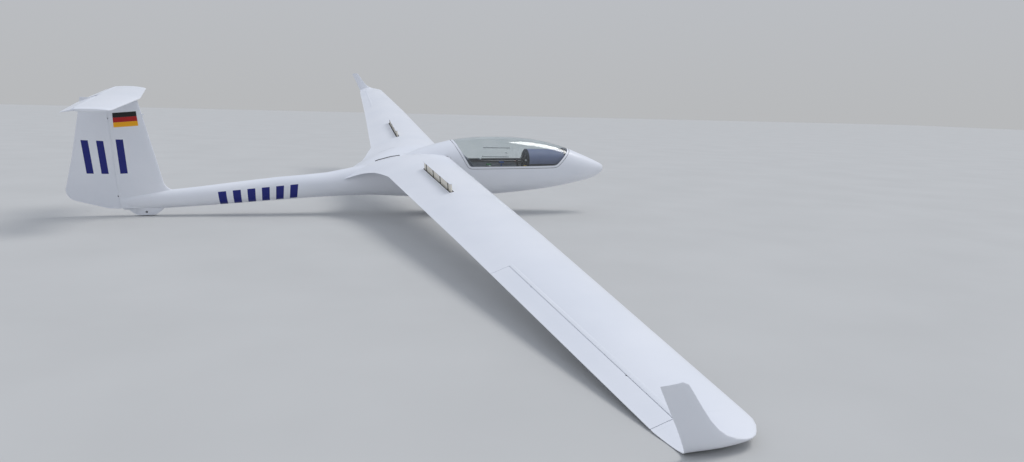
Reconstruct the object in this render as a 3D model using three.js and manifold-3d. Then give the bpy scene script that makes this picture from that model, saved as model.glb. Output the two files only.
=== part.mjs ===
// A single-seat glass-fibre sailplane with a T-tail, parked with one wing tip on the ground.
// Sizes are in millimetres. The airframe's own frame has its nose along -Y, its port wing
// along +X and up along +Z, with the wheels' contact line at Z = 0. At the end the whole
// airframe is banked until both wheels and the starboard wing tip stand on one floor.

import * as THREE from 'three';
import { mergeVertices } from 'three/addons/utils/BufferGeometryUtils.js';
import Module from 'manifold-3d';

const wasm = await Module();
wasm.setup();

// Clearances
const SEAT_GAP = 0.3;
const RUNNING_GAP = 5;
const BAY_GAP = 6.5;
const NOSE_SHARE = 0.98;

// Fuselage: y, top, bottom, half width, height of the widest place
const FUSELAGE_SECTIONS = [
  [-2477, 632, 606, 16, 619],
  [-2466, 654, 574, 45, 614],
  [-2449, 668, 556, 62, 612],
  [-2412, 686, 528, 86, 608],
  [-2330, 723, 486, 124, 604],
  [-2229, 765, 453, 160, 602],
  [-2017, 848, 406, 214, 604],
  [-1800, 922, 362, 253, 612],
  [-1549, 981, 322, 281, 625],
  [-1250, 1016, 287, 300, 640],
  [-982, 1024, 260, 306, 648],
  [-600, 1013, 236, 306, 650],
  [-270, 960, 224, 297, 640],
  [100, 850, 222, 268, 600],
  [430, 715, 232, 225, 540],
  [760, 648, 245, 183, 474],
  [1288, 533, 226, 148, 388],
  [1888, 474, 182, 131, 330],
  [2796, 356, 116, 108, 236],
  [3150, 316, 94, 90, 204],
  [3450, 290, 80, 66, 184],
  [3722, 268, 69, 46, 168],
];
const FUSELAGE_POINTS = 28;
const POD_SQUARENESS = 2.25;
const WALL = 16;

// Cockpit and canopy, as side outlines of y and z; the canopy's corners also have a radius
const COCKPIT_START = -2235;
const COCKPIT_END = -290;
const COCKPIT_FLOOR = 330;
const FOOTWELL_STEP = { y: -1790, z: 430 };
const WHEEL_BOX = { y: -520, z: 430 };
const CANOPY_CORNERS = [[-496, 642, 85], [-1720, 659, 130], [-2180, 1100, 0], [-224, 1100, 0]];
const CANOPY_FRAME_WIDTH = 27;
const CANOPY_FRAME_DEPTH = 13;
const CANOPY_GLASS = 4;
const CANOPY_HINGE = { y: -2085, z: 762, arm: 70, thick: 8, pin: 4 };
const CANOPY_ARM = [[-2086, 751], [-1926, 690], [-1900, 690], [-1884, 705], [-1883, 775], [-1888, 812],
  [-1898, 846], [-1900, 868], [-1927, 868], [-1921, 856], [-1912, 838], [-1901, 800], [-1897, 762],
  [-1903, 717], [-1920, 705], [-1942, 718], [-1969, 731], [-1987, 740], [-2006, 749], [-2025, 760],
  [-2046, 769], [-2080, 773]];
const CLEAR_VIEW = [[-820, 705], [-1190, 705], [-1190, 822], [-820, 822]];

// Wing: x, leading edge y, trailing edge y, thickness to chord, droop of the trailing edge
const WING_STATIONS = [
  [400, -236, 815, 0.1363, 44],
  [550, -239, 752, 0.1431, 20],
  [700, -240, 712, 0.1474, 8],
  [850, -241, 668, 0.1528, 2],
  [1000, -242, 630, 0.1577, 0],
  [4065, -264, 416, 0.158, 0],
  [7222, -248, 219, 0.145, 0],
];
const WING_CAMBER = 0.028;
const WING_HEIGHT = 749;
const WING_INCIDENCE = 7.1;
const WING_DIHEDRAL = 0.72;
const AIRFOIL_POINTS = 30;
const TRAILING_EDGE = 1.5;

// Wing root fairing inside the wing root: x, leading edge y, trailing edge y, thickness, droop of
// the trailing edge, how far it lies below the wing's chord plane
const FAIRING_STATIONS = [
  [20, -330, 1200, 110, 150, 40],
  [110, -310, 1150, 125, 128, 34],
  [160, -295, 1086, 135, 106, 26],
  [230, -272, 990, 142, 82, 14],
  [330, -248, 884, 146, 56, 4],
];

// Wing tip and winglet: x, z, cant in degrees, leading edge y, trailing edge y, thickness to chord
const TIP_STATIONS = [
  [7222.3, 0, 0, -248, 219, 0.145],
  [7290, 2, 2, -243, 210, 0.14],
  [7345, 6, 5, -224, 204, 0.135],
  [7390, 11, 10, -197, 199, 0.13],
  [7426, 18, 19, -171, 196, 0.127],
  [7454, 27, 32, -136, 196, 0.122],
  [7471, 39, 47, -96, 199, 0.117],
  [7481, 58, 62, -46, 205, 0.112],
  [7485, 86, 71, 3, 213, 0.108],
  [7488, 122, 75, 43, 224, 0.104],
  [7491, 180, 77, 86, 243, 0.1],
  [7494, 250, 78, 126, 269, 0.1],
  [7498, 318, 79, 162, 294, 0.1],
  [7501, 370, 80, 190, 313, 0.095],
  [7502, 388, 80, 218, 319, 0.08],
];

// Ailerons: hinge line from the inboard to the outboard end
const AILERON = { inner: [4828, 230], outer: [7188, 111], swing: 20, knuckles: [0.2, 0.8] };

// Airbrakes: slot line on the upper skin, plate size, and how far it stands out in the photograph
const AIRBRAKE = {
  inner: [1175, 220], outer: [2474, 169], thick: 12, height: 90, cap: 34, capThick: 4.7,
  raised: 85, groove: 20, slack: 0.35,
};
const ROOT_SLOT = { start: 352, end: 600, width: 10, floor: 28 };

// Vertical tail: z, leading edge y, trailing edge y, thickness
const TAIL_STATIONS = [
  [100, 3120, 4310, 92],
  [300, 3070, 4280, 92],
  [330, 3140, 4270, 93],
  [362, 3176, 4262, 94],
  [399, 3199, 4252, 94],
  [684, 3267, 4182, 84],
  [1219, 3395, 4074, 66],
  [1412, 3441, 4040, 60],
];
const RUDDER = { low: [3704, 105], high: [3766, 1195], bottom: 96, top: 1362, shelf: 1370, crest: 1408 };
const RUDDER_CREST_START = 3906;
const RUDDER_CORNER = { start: [4170, 188], bend: [4262, 211], end: [4272, 319] };
const FIN_TOP = 1405;

// Horizontal tail: x, leading edge y, trailing edge y, thickness
const STABILIZER_HEIGHT = 1409;
const STABILIZER_STATIONS = [
  [0, 3401, 4045, 70],
  [1095, 3500, 3992, 56],
  [1128, 3508, 3990, 45],
  [1144, 3526, 3985, 22],
];
const ELEVATOR = { y: 3862, root: 100, rootSlope: 0.466, tip: 1127, tube: 9, droop: 14, knuckle: 600 };

// Landing gear
const MAIN_WHEEL = { y: -200, radius: 178, width: 124, bead: 70, axle: 12, bore: 12.4 };
const WHEEL_BAY = { halfWidth: 108, reach: 205 };
const GEAR_LEG = { x: 82, thick: 12, halfWidth: 26 };
const GEAR_DOOR = { x: 111, thick: 5, drop: 112, lean: 7 };
const TAIL_WHEEL = { y: 3407, radius: 52, width: 34, hub: 26, axle: 5, bore: 5.35 };
const TAIL_BOX = { halfWidth: 40, low: 12 };

const UP = new THREE.Vector3(0, 0, 1);
const OUTBOARD = new THREE.Vector3(1, 0, 0);
const radians = THREE.MathUtils.degToRad;

// Solids

function solidOf(geometry) {
  const bare = geometry.clone();
  bare.deleteAttribute('normal');
  bare.deleteAttribute('uv');
  const merged = mergeVertices(bare, 1e-4);
  return new wasm.Manifold(new wasm.Mesh({
    numProp: 3,
    vertProperties: Float32Array.from(merged.attributes.position.array),
    triVerts: Uint32Array.from(merged.index.array),
  }));
}

function geometryOf(solid) {
  const mesh = solid.getMesh();
  const geometry = new THREE.BufferGeometry();
  geometry.setAttribute('position', new THREE.BufferAttribute(Float32Array.from(mesh.vertProperties), 3));
  geometry.setIndex(new THREE.BufferAttribute(Uint32Array.from(mesh.triVerts), 1));
  return geometry;
}

function signedVolume(points, triangles) {
  let volume = 0;
  for (let t = 0; t < triangles.length; t += 3) {
    const [a, b, c] = [points[triangles[t]], points[triangles[t + 1]], points[triangles[t + 2]]];
    volume += a.dot(new THREE.Vector3().crossVectors(b, c)) / 6;
  }
  return volume;
}

// A closed solid through rings of equally many points; each end is closed by a ladder of faces.
function loft(rings) {
  const count = rings[0].length;
  const points = rings.flat();
  const triangles = [];
  const quad = (a, b, c, d) => triangles.push(a, b, c, a, c, d);
  for (let r = 0; r + 1 < rings.length; r += 1) {
    for (let k = 0; k < count; k += 1) {
      const next = (k + 1) % count;
      quad(r * count + k, r * count + next, (r + 1) * count + next, (r + 1) * count + k);
    }
  }
  const last = (rings.length - 1) * count;
  for (let k = 0; k < count / 2 - 1; k += 1) {
    quad(k, count - 1 - k, count - 2 - k, k + 1);
    quad(last + k, last + k + 1, last + count - 2 - k, last + count - 1 - k);
  }
  if (signedVolume(points, triangles) < 0) {
    for (let t = 0; t < triangles.length; t += 3) {
      [triangles[t], triangles[t + 1]] = [triangles[t + 1], triangles[t]];
    }
  }
  return new wasm.Manifold(new wasm.Mesh({
    numProp: 3,
    vertProperties: Float32Array.from(points.flatMap((p) => [p.x, p.y, p.z])),
    triVerts: Uint32Array.from(triangles),
  }));
}

function block(x, y, z) {
  const geometry = new THREE.BoxGeometry(x[1] - x[0], y[1] - y[0], z[1] - z[0]);
  geometry.translate((x[0] + x[1]) / 2, (y[0] + y[1]) / 2, (z[0] + z[1]) / 2);
  return solidOf(geometry);
}

// A round bar from one point to another, with a radius at each end.
function bar(start, end, startRadius, endRadius = startRadius, sides = 18) {
  const along = new THREE.Vector3().subVectors(end, start);
  const geometry = new THREE.CylinderGeometry(endRadius, startRadius, along.length(), sides);
  geometry.applyQuaternion(new THREE.Quaternion().setFromUnitVectors(
    new THREE.Vector3(0, 1, 0), along.clone().normalize()));
  geometry.translate(...new THREE.Vector3().addVectors(start, end).multiplyScalar(0.5).toArray());
  return solidOf(geometry);
}

// A round rod along a straight line of points, with a radius at each of them.
function rod(points, radii, sides = 18) {
  const along = new THREE.Vector3().subVectors(points.at(-1), points[0]).normalize();
  const across = new THREE.Vector3(0, 1, 0).cross(along).normalize();
  const third = new THREE.Vector3().crossVectors(along, across);
  return loft(points.map((point, k) => Array.from({ length: sides }, (_, n) => {
    const turn = (2 * Math.PI * (n + 0.5)) / sides;
    return point.clone().addScaledVector(across, radii[k] * Math.cos(turn))
      .addScaledVector(third, radii[k] * Math.sin(turn));
  })));
}

const shapeOf = (points) => new THREE.Shape(points.map(([u, v]) => new THREE.Vector2(u, v)));

// An outline of y and z, drawn out along X.
function sideSlab(outline, from, to) {
  const shape = outline instanceof THREE.Shape ? outline : shapeOf(outline);
  const geometry = new THREE.ExtrudeGeometry(shape, { depth: to - from, bevelEnabled: false, curveSegments: 8 });
  geometry.translate(0, 0, from);
  geometry.applyMatrix4(new THREE.Matrix4().makeBasis(new THREE.Vector3(0, 1, 0), UP, OUTBOARD));
  return solidOf(geometry);
}

// An outline of x and y, drawn out along Z.
function planSlab(outline, from, to) {
  const geometry = new THREE.ExtrudeGeometry(shapeOf(outline), { depth: to - from, bevelEnabled: false });
  geometry.translate(0, 0, from);
  return solidOf(geometry);
}

// An outline of x and z, drawn out along Y.
function frontSlab(outline, from, to) {
  const shape = outline instanceof THREE.Shape ? outline : shapeOf(outline);
  const geometry = new THREE.ExtrudeGeometry(shape, { depth: to - from, bevelEnabled: false, curveSegments: 8 });
  geometry.rotateX(Math.PI / 2);
  geometry.translate(0, to, 0);
  return solidOf(geometry);
}

// A convex outline moved outwards by a distance, or inwards where it is negative.
function grown(outline, distance) {
  const area = outline.reduce((sum, [u, v], k) => {
    const [nu, nv] = outline[(k + 1) % outline.length];
    return sum + u * nv - nu * v;
  }, 0);
  const outward = Math.sign(area) * distance;
  const edges = outline.map(([u, v], k) => {
    const [nu, nv] = outline[(k + 1) % outline.length];
    const length = Math.hypot(nu - u, nv - v);
    const normal = [(nv - v) / length, (u - nu) / length];
    return { normal, offset: normal[0] * u + normal[1] * v + outward };
  });
  return edges.map((edge, k) => {
    const before = edges[(k + edges.length - 1) % edges.length];
    const cross = before.normal[0] * edge.normal[1] - before.normal[1] * edge.normal[0];
    return [
      (before.offset * edge.normal[1] - edge.offset * before.normal[1]) / cross,
      (before.normal[0] * edge.offset - edge.normal[0] * before.offset) / cross,
    ];
  });
}

// An outline whose corners are given with a radius, as arcs of points; the radius 0 keeps a corner.
const ARC_STEPS = 5;
function rounded(corners) {
  const point = (k) => {
    const [u, v] = corners[(k + corners.length) % corners.length];
    return new THREE.Vector2(u, v);
  };
  return corners.flatMap(([u, v, radius], k) => {
    if (radius === 0) {
      return [[u, v]];
    }
    const corner = point(k);
    const before = point(k - 1).sub(corner).normalize();
    const after = point(k + 1).sub(corner).normalize();
    const half = Math.acos(before.dot(after)) / 2;
    const centre = before.clone().add(after).normalize().multiplyScalar(radius / Math.sin(half)).add(corner);
    const start = corner.clone().addScaledVector(before, radius / Math.tan(half)).sub(centre);
    const sweep = Math.sign(after.cross(before)) * (Math.PI - 2 * half);
    return Array.from({ length: ARC_STEPS + 1 }, (_, n) => start.clone()
      .rotateAround(new THREE.Vector2(), (sweep * n) / ARC_STEPS).add(centre).toArray());
  });
}

const CANOPY_OUTLINE = rounded(CANOPY_CORNERS);

const union = (...solids) => solids.reduce((sum, solid) => sum.add(solid));
const mirrored = (solid) => solid.mirror([1, 0, 0]);
const onSide = (side, solid) => (side > 0 ? solid : mirrored(solid));
const at = (x, y, z) => new THREE.Vector3(x, y, z);

// Sections

const interpolate = (a, b, t) => a + (b - a) * t;

// The number of the table's last row at or before a place, short of its final row.
function rowBefore(table, place) {
  const passed = table.filter((row) => row[0] <= place).length;
  return Math.min(table.length - 2, Math.max(0, passed - 1));
}

// A table's row at a place along its first column, straight between its rows.
function straightRow(table, place) {
  const k = rowBefore(table, place);
  const t = (place - table[k][0]) / (table[k + 1][0] - table[k][0]);
  return table[k].map((value, column) => interpolate(value, table[k + 1][column], t));
}

// The same with a smooth curve through the rows.
function smoothRow(table, place) {
  const k = rowBefore(table, place);
  const [a, b] = [table[k], table[k + 1]];
  const span = b[0] - a[0];
  const t = (place - a[0]) / span;
  const slope = (j, column) => {
    const before = table[Math.max(0, j - 1)];
    const after = table[Math.min(table.length - 1, j + 1)];
    return (after[column] - before[column]) / (after[0] - before[0]);
  };
  return a.map((value, column) => {
    const [m0, m1] = [slope(k, column) * span, slope(k + 1, column) * span];
    return (2 * t ** 3 - 3 * t ** 2 + 1) * value + (t ** 3 - 2 * t ** 2 + t) * m0
      + (3 * t ** 2 - 2 * t ** 3) * b[column] + (t ** 3 - t ** 2) * m1;
  });
}

// The fuselage's ring at y, moved inwards by an inset.
function fuselageRing(y, inset = 0) {
  const [, top, bottom, half, wide] = smoothRow(FUSELAGE_SECTIONS, y);
  const roundness = y < 0 ? POD_SQUARENESS : interpolate(POD_SQUARENESS, 2, Math.min(1, y / 1200));
  const power = 2 / roundness;
  return Array.from({ length: FUSELAGE_POINTS }, (_, k) => {
    const turn = (2 * Math.PI * (k + 0.5)) / FUSELAGE_POINTS;
    const [s, c] = [Math.sin(turn), Math.cos(turn)];
    const rise = c > 0 ? top - wide - inset : wide - bottom - inset;
    return at(Math.sign(s) * (half - inset) * Math.abs(s) ** power, y,
      wide + Math.sign(c) * rise * Math.abs(c) ** power);
  });
}

function fuselageSolid(from, to, inset = 0) {
  const places = [from, to];
  FUSELAGE_SECTIONS.forEach(([y], k) => {
    places.push(y);
    if (k > 3 && k + 1 < FUSELAGE_SECTIONS.length) {
      places.push((y + FUSELAGE_SECTIONS[k + 1][0]) / 2);
    }
  });
  const inside = [...new Set(places)].filter((y) => y >= from && y <= to).sort((a, b) => a - b);
  return loft(inside.map((y) => fuselageRing(y, inset)));
}

const THICKNESS_PEAK = 0.522;
const thicknessAt = (s) => (Math.sqrt(s) * (1 - s) ** 1.35 * (1 + 1.6 * s)) / THICKNESS_PEAK;
const camberAt = (s) => 4 * s * (1 - s);

// Points round an airfoil, from the upper trailing edge forward and back to the lower one.
function airfoil(chord, thickness, camber = 0) {
  return Array.from({ length: AIRFOIL_POINTS }, (_, k) => {
    const turn = (2 * Math.PI * k) / (AIRFOIL_POINTS - 1);
    const s = (1 + Math.cos(turn)) / 2;
    const half = (thickness / 2) * thicknessAt(s) + TRAILING_EDGE * s;
    return { along: s * chord, across: camber * camberAt(s) + (turn < Math.PI ? half : -half) };
  });
}

const DROOP_START = 0.45;
const droopAt = (s, droop) => droop * (Math.max(0, s - DROOP_START) / (1 - DROOP_START)) ** 2;

function wingRing(x) {
  const [, lead, trail, ratio, droop] = straightRow(WING_STATIONS, x);
  const chord = trail - lead;
  return airfoil(chord, ratio * chord, WING_CAMBER * chord).map((p) => at(
    x, lead + p.along, p.across - droopAt(p.along / chord, droop)));
}

// Height of the wing's mean line and its half thickness at a place in the plan.
function wingDepth(x, y) {
  const [, lead, trail, ratio, droop] = straightRow(WING_STATIONS, x);
  const chord = trail - lead;
  const s = (y - lead) / chord;
  const half = (ratio * chord * thicknessAt(s)) / 2 + TRAILING_EDGE * s;
  return { middle: WING_CAMBER * chord * camberAt(s) - droopAt(s, droop), half };
}

// Hinges of control surfaces

// A lug with its pin, the notch round it in the moving surface, and the pin's bore.
// The lug comes from the side named forward, across a nose of the given radius.
function knuckle(place, axis, forward, noseRadius) {
  const across = new THREE.Vector3().crossVectors(axis, forward.clone().negate());
  const frame = new THREE.Matrix4().makeBasis(axis, forward.clone().negate(), across).setPosition(place);
  const [plate, head, pinRadius, boreRadius, notch] = [3, 8, 2.5, 2.9, 8];
  const root = -(noseRadius + RUNNING_GAP + 6);
  const disc = (radius, half) => bar(at(-half, 0, 0), at(half, 0, 0), radius, radius, 12);
  const placed = (solid) => solid.transform(frame.elements);
  return {
    lug: placed(union(block([-plate, plate], [root, 0], [-5, 5]), disc(head, plate), disc(pinRadius, 15))),
    notch: placed(union(
      block([-notch, notch], [-(noseRadius + 8), 0], [-(noseRadius + 8), noseRadius + 8]),
      disc(head + RUNNING_GAP, notch))),
    bore: placed(disc(boreRadius, 16)),
  };
}

// Splits a whole surface into a fixed and a moving piece along a hinge line. The nose of the
// moving piece is a rod; its radius is given at shares of the line from its start to its end.
function hinged({ whole, moving, bay, start, end, nose, overrun, forward, knuckles, ends = [[0, 1]] }) {
  const axis = new THREE.Vector3().subVectors(end, start).normalize();
  const along = (t) => new THREE.Vector3().lerpVectors(start, end, t);
  const radiusAt = (t) => straightRow(nose, t)[1];
  const noseRod = (from, to, extra) => {
    const stops = [from, ...nose.map(([t]) => t).filter((t) => t > from && t < to), to];
    return rod(stops.map(along), stops.map((t) => radiusAt(t) + extra));
  };
  const margin = overrun / start.distanceTo(end);
  const sweep = noseRod(-margin, 1 + margin, BAY_GAP);
  let surface = union(whole.intersect(moving), ...ends.map(([from, to]) => noseRod(from, to, 0)));
  let body = whole.subtract(bay).subtract(sweep);
  for (const t of knuckles) {
    const parts = knuckle(along(t), axis, forward, radiusAt(t));
    surface = surface.subtract(parts.notch).subtract(parts.bore);
    body = body.add(parts.lug);
  }
  return { surface, body, axis, sweep };
}

// Materials

const material = (color, roughness, metalness = 0) => new THREE.MeshStandardMaterial({
  color, roughness, metalness });
const PAINT = {
  gelcoat: material(0xe9ecf2, 0.25),
  brake: material(0xe6dcc0, 0.5),
  glass: new THREE.MeshStandardMaterial({
    color: 0xcfd8d8, roughness: 0.05, transparent: true, opacity: 0.35 }),
  tyre: material(0x1b1b1c, 0.85),
  rim: material(0xb8bcc0, 0.4, 0.8),
  steel: material(0x8f949a, 0.4, 0.9),
  interior: material(0xb9bdc2, 0.6),
  fabric: material(0x5a6470, 0.9),
  webbing: material(0x2c3f6e, 0.9),
  panel: material(0x23262a, 0.7),
  cover: material(0x77828f, 0.7),
  dial: material(0x101214, 0.4),
  knobBlue: material(0x2457a6, 0.4),
  knobYellow: material(0xe0b91c, 0.4),
  knobGreen: material(0x2f8a4c, 0.4),
  black: material(0x1a1a1c, 0.6),
};

const airframe = new THREE.Group();

// Adds a named mesh to a group. Its own origin is at the given place, so that a moving piece
// turns about that origin; turnsAbout or slidesAlong keeps its direction there.
function piece(name, solid, paint, { group = airframe, place = at(0, 0, 0), motion = {} } = {}) {
  const [body, ...specks] = solid.decompose().sort((a, b) => b.volume() - a.volume());
  if (specks.some((speck) => speck.volume() > 1)) {
    throw new Error(`${name} is in more than one body`);
  }
  const geometry = geometryOf(body);
  geometry.translate(-place.x, -place.y, -place.z);
  const mesh = new THREE.Mesh(geometry, paint);
  mesh.name = name;
  mesh.position.copy(place);
  Object.assign(mesh.userData, motion);
  group.add(mesh);
  return mesh;
}

const SIDES = [['port', 1], ['starboard', -1]];

// Wings, each in the frame of its own chord plane

const panels = Object.fromEntries(SIDES.map(([name, side]) => {
  const panel = new THREE.Group();
  panel.position.set(0, 0, WING_HEIGHT);
  panel.rotation.set(-radians(WING_INCIDENCE), -side * radians(WING_DIHEDRAL), 0, 'YXZ');
  panel.updateMatrix();
  airframe.add(panel);
  return [name, panel];
}));

function wingParts() {
  const whole = loft(WING_STATIONS.map(([x]) => wingRing(x + (x === WING_STATIONS[0][0] ? SEAT_GAP : 0))));
  const [inner, outer] = [AILERON.inner, AILERON.outer];
  const [innerDepth, outerDepth] = [wingDepth(...inner), wingDepth(...outer)];
  const nose = [[0, innerDepth.half * NOSE_SHARE], [1, outerDepth.half * NOSE_SHARE]];
  const lip = nose.map(([, radius]) => 0.3 * radius);
  const [past, far] = [RUNNING_GAP, 600];
  return hinged({
    whole,
    moving: planSlab([inner, outer, [outer[0], far], [inner[0], far]], -200, 200),
    bay: planSlab([
      [inner[0] - past, inner[1] - lip[0]], [outer[0] + past, outer[1] - lip[1]],
      [outer[0] + past, far], [inner[0] - past, far]], -200, 200),
    start: at(inner[0], inner[1], innerDepth.middle),
    end: at(outer[0], outer[1], outerDepth.middle),
    nose,
    overrun: RUNNING_GAP,
    forward: at(0, -1, 0),
    knuckles: AILERON.knuckles,
  });
}

// The airbrake's frame: its X runs along the slot on the upper skin, its Z points out of the wing.
function airbrakeParts() {
  const onSkin = ([x, y]) => {
    const { middle, half } = wingDepth(x, y);
    return at(x, y, middle + half);
  };
  const [start, end] = [onSkin(AIRBRAKE.inner), onSkin(AIRBRAKE.outer)];
  const along = new THREE.Vector3().subVectors(end, start).normalize();
  const aft = new THREE.Vector3().crossVectors(UP, along).normalize();
  const out = new THREE.Vector3().crossVectors(along, aft);
  const frame = new THREE.Matrix4().makeBasis(along, aft, out)
    .setPosition(new THREE.Vector3().addVectors(start, end).multiplyScalar(0.5));
  const half = start.distanceTo(end) / 2;
  const { thick, height, cap, capThick, raised, groove, slack } = AIRBRAKE;
  const low = -height - capThick - SEAT_GAP;
  const recess = cap / 2 + RUNNING_GAP;
  const placed = (solid) => solid.transform(frame.elements);
  const plate = block([-half, half], [-thick / 2, thick / 2], [low + raised, low + height + raised]);
  const strip = block([-half - 4, half + 4], [-cap / 2, cap / 2], [raised - capThick, raised]);
  const pocket = union(
    block([-half + groove, half - groove], [-thick / 2 - RUNNING_GAP, thick / 2 + RUNNING_GAP],
      [low - RUNNING_GAP, 30]),
    block([-half - 1, half + 1], [-thick / 2 - slack, thick / 2 + slack], [low - RUNNING_GAP, 30]),
    block([-half - 4 - RUNNING_GAP, half + 4 + RUNNING_GAP], [-recess, recess],
      [-capThick - RUNNING_GAP, 30]));
  return { plate: placed(plate), strip: placed(strip), pocket: placed(pocket), out, frame };
}

const tipRings = TIP_STATIONS.map(([x, z, cant, lead, trail, ratio]) => {
  const chord = trail - lead;
  const camber = WING_CAMBER * chord * Math.cos(radians(cant));
  const [s, c] = [Math.sin(radians(cant)), Math.cos(radians(cant))];
  return airfoil(chord, ratio * chord, camber).map((p) => at(
    x - s * p.across, lead + p.along, z + c * p.across));
});

function addWings() {
  const { surface, body, axis } = wingParts();
  const brake = airbrakeParts();
  const wing = body.subtract(brake.pocket);
  const rootSlot = block([WING_STATIONS[0][0] - 1, WING_STATIONS[0][0] + ROOT_SLOT.width],
    [ROOT_SLOT.start, ROOT_SLOT.end], [ROOT_SLOT.floor, 200]);
  const tip = loft(tipRings);
  const hinge = at(...AILERON.inner, wingDepth(...AILERON.inner).middle);
  const mid = new THREE.Vector3().setFromMatrixPosition(brake.frame);
  for (const [name, side] of SIDES) {
    const group = panels[name];
    const local = (point) => at(side * point.x, point.y, point.z);
    piece(`wing_${name}`, side > 0 ? wing.subtract(rootSlot) : mirrored(wing), PAINT.gelcoat, { group });
    piece(`wing_tip_${name}`, onSide(side, tip), PAINT.gelcoat, { group });
    piece(`aileron_${name}`, onSide(side, surface), PAINT.gelcoat, {
      group, place: local(hinge), motion: { turnsAbout: at(axis.x, side * axis.y, side * axis.z) } });
    const motion = { slidesAlong: local(brake.out) };
    const place = local(mid);
    piece(`airbrake_${name}`, onSide(side, brake.plate), PAINT.brake, { group, place, motion });
    piece(`airbrake_cap_${name}`, onSide(side, brake.strip), PAINT.gelcoat, { group, place });
  }
}

// The tail

const hingeY = (z) => interpolate(RUDDER.low[0], RUDDER.high[0],
  (z - RUDDER.low[1]) / (RUDDER.high[1] - RUDDER.low[1]));

function verticalTail() {
  return loft(TAIL_STATIONS.map(([z, lead, trail, thickness]) => airfoil(trail - lead, thickness)
    .map((p) => at(p.across, lead + p.along, z))));
}

function tailHalfThickness(z, y) {
  const [, lead, trail, thickness] = straightRow(TAIL_STATIONS, z);
  return (thickness / 2) * thicknessAt((y - lead) / (trail - lead));
}

function rudderOutline() {
  const shape = new THREE.Shape();
  shape.moveTo(hingeY(72), 72);
  shape.lineTo(...RUDDER_CORNER.start);
  shape.quadraticCurveTo(...RUDDER_CORNER.bend, ...RUDDER_CORNER.end);
  shape.lineTo(4400, RUDDER_CORNER.end[1]);
  shape.lineTo(4400, RUDDER.crest);
  shape.lineTo(RUDDER_CREST_START, RUDDER.crest);
  shape.lineTo(RUDDER_CREST_START, RUDDER.shelf);
  shape.lineTo(hingeY(RUDDER.shelf), RUDDER.shelf);
  return shape;
}

function horizontalTail() {
  const half = STABILIZER_STATIONS.map(([x, lead, trail, thickness]) => ({ x, lead, trail, thickness }));
  const other = half.slice(1).reverse().map((row) => ({ ...row, x: -row.x }));
  return loft([...other, ...half].map(({ x, lead, trail, thickness }) => airfoil(trail - lead, thickness)
    .map((p) => at(x, lead + p.along, STABILIZER_HEIGHT + p.across))));
}

function horizontalTailParts() {
  const { y, root, rootSlope, tip, tube, knuckle: place } = ELEVATOR;
  const far = 4200;
  const half = planSlab([[root, y], [1200, y], [1200, far], [root + rootSlope * (far - y), far]], 1300, 1500);
  const halfAt = (x) => {
    const [, lead, trail, thickness] = straightRow(STABILIZER_STATIONS, x);
    return (thickness / 2) * thicknessAt((y - lead) / (trail - lead)) * NOSE_SHARE;
  };
  const bend = STABILIZER_STATIONS[1][0];
  const share = (x) => (x + tip) / (2 * tip);
  const nose = [-tip, -bend, 0, bend, tip].map((x) => [share(x), halfAt(Math.abs(x))]);
  const radius = halfAt(0);
  const whole = horizontalTail();
  const parts = hinged({
    whole,
    moving: union(half, mirrored(half)),
    bay: planSlab([[-1200, y - 0.3 * radius], [1200, y - 0.3 * radius], [1200, far], [-1200, far]], 1300, 1500),
    start: at(-tip, y, STABILIZER_HEIGHT),
    end: at(tip, y, STABILIZER_HEIGHT),
    nose,
    overrun: 40,
    forward: at(0, -1, 0),
    knuckles: [share(-place), share(place)],
    ends: [[0, share(-root)], [share(root), 1]],
  });
  const shaft = bar(at(-root - 3, y, STABILIZER_HEIGHT), at(root + 3, y, STABILIZER_HEIGHT), tube);
  return { ...parts, surface: parts.surface.add(shaft), whole };
}

function addTail() {
  const horizontal = horizontalTailParts();
  const whole = verticalTail();
  const [low, high] = [at(0, hingeY(RUDDER.bottom), RUDDER.bottom), at(0, hingeY(RUDDER.top), RUDDER.top)];
  const stops = [RUDDER.bottom, ...TAIL_STATIONS.map(([z]) => z).filter((z) => z > 390 && z < 1300), RUDDER.top];
  const nose = stops.map((z) => [(z - low.z) / (high.z - low.z), tailHalfThickness(z, hingeY(z)) * NOSE_SHARE]);
  const tail = fuselageSolid(FUSELAGE_SECTIONS[12][0], FUSELAGE_SECTIONS.at(-1)[0]);
  const lip = 8;
  const bay = sideSlab([[hingeY(0) - lip, 0], [4500, 0], [4500, 1500], [hingeY(1500) - lip, 1500]], -150, 150);
  const parts = hinged({
    whole,
    moving: sideSlab(rudderOutline(), -120, 120),
    bay,
    start: low,
    end: high,
    nose,
    overrun: 60,
    forward: at(0, -1, 0),
    knuckles: [0.12, 0.85],
  });
  const seat = horizontal.whole.translate([0, 0, -SEAT_GAP]);
  const above = block([-200, 200], [3300, 4000], [FIN_TOP, 1600]);
  const fin = parts.body.subtract(seat).subtract(above);
  const cone = tail.subtract(bay).subtract(parts.sweep);
  piece('rudder', parts.surface, PAINT.gelcoat, { place: low, motion: { turnsAbout: parts.axis } });
  piece('stabilizer', horizontal.body, PAINT.gelcoat);
  const hinge = at(0, ELEVATOR.y, STABILIZER_HEIGHT);
  const elevator = piece('elevator', horizontal.surface, PAINT.gelcoat, {
    place: hinge, motion: { turnsAbout: at(1, 0, 0) } });
  elevator.rotation.x = -radians(ELEVATOR.droop);
  return { fin, cone };
}

// Fuselage shell with its cockpit, wheel bay and tail wheel box

function wingFairing() {
  const rings = FAIRING_STATIONS.map(([x, lead, trail, thickness, droop, sink]) => {
    const chord = trail - lead;
    return airfoil(chord, thickness, WING_CAMBER * chord).map((p) => at(
      x, lead + p.along, p.across - droopAt(p.along / chord, droop) - sink));
  });
  const solid = loft([...rings, wingRing(WING_STATIONS[0][0])]);
  return union(...SIDES.map(([name, side]) => onSide(side, solid).transform(panels[name].matrix.elements)));
}

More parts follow.
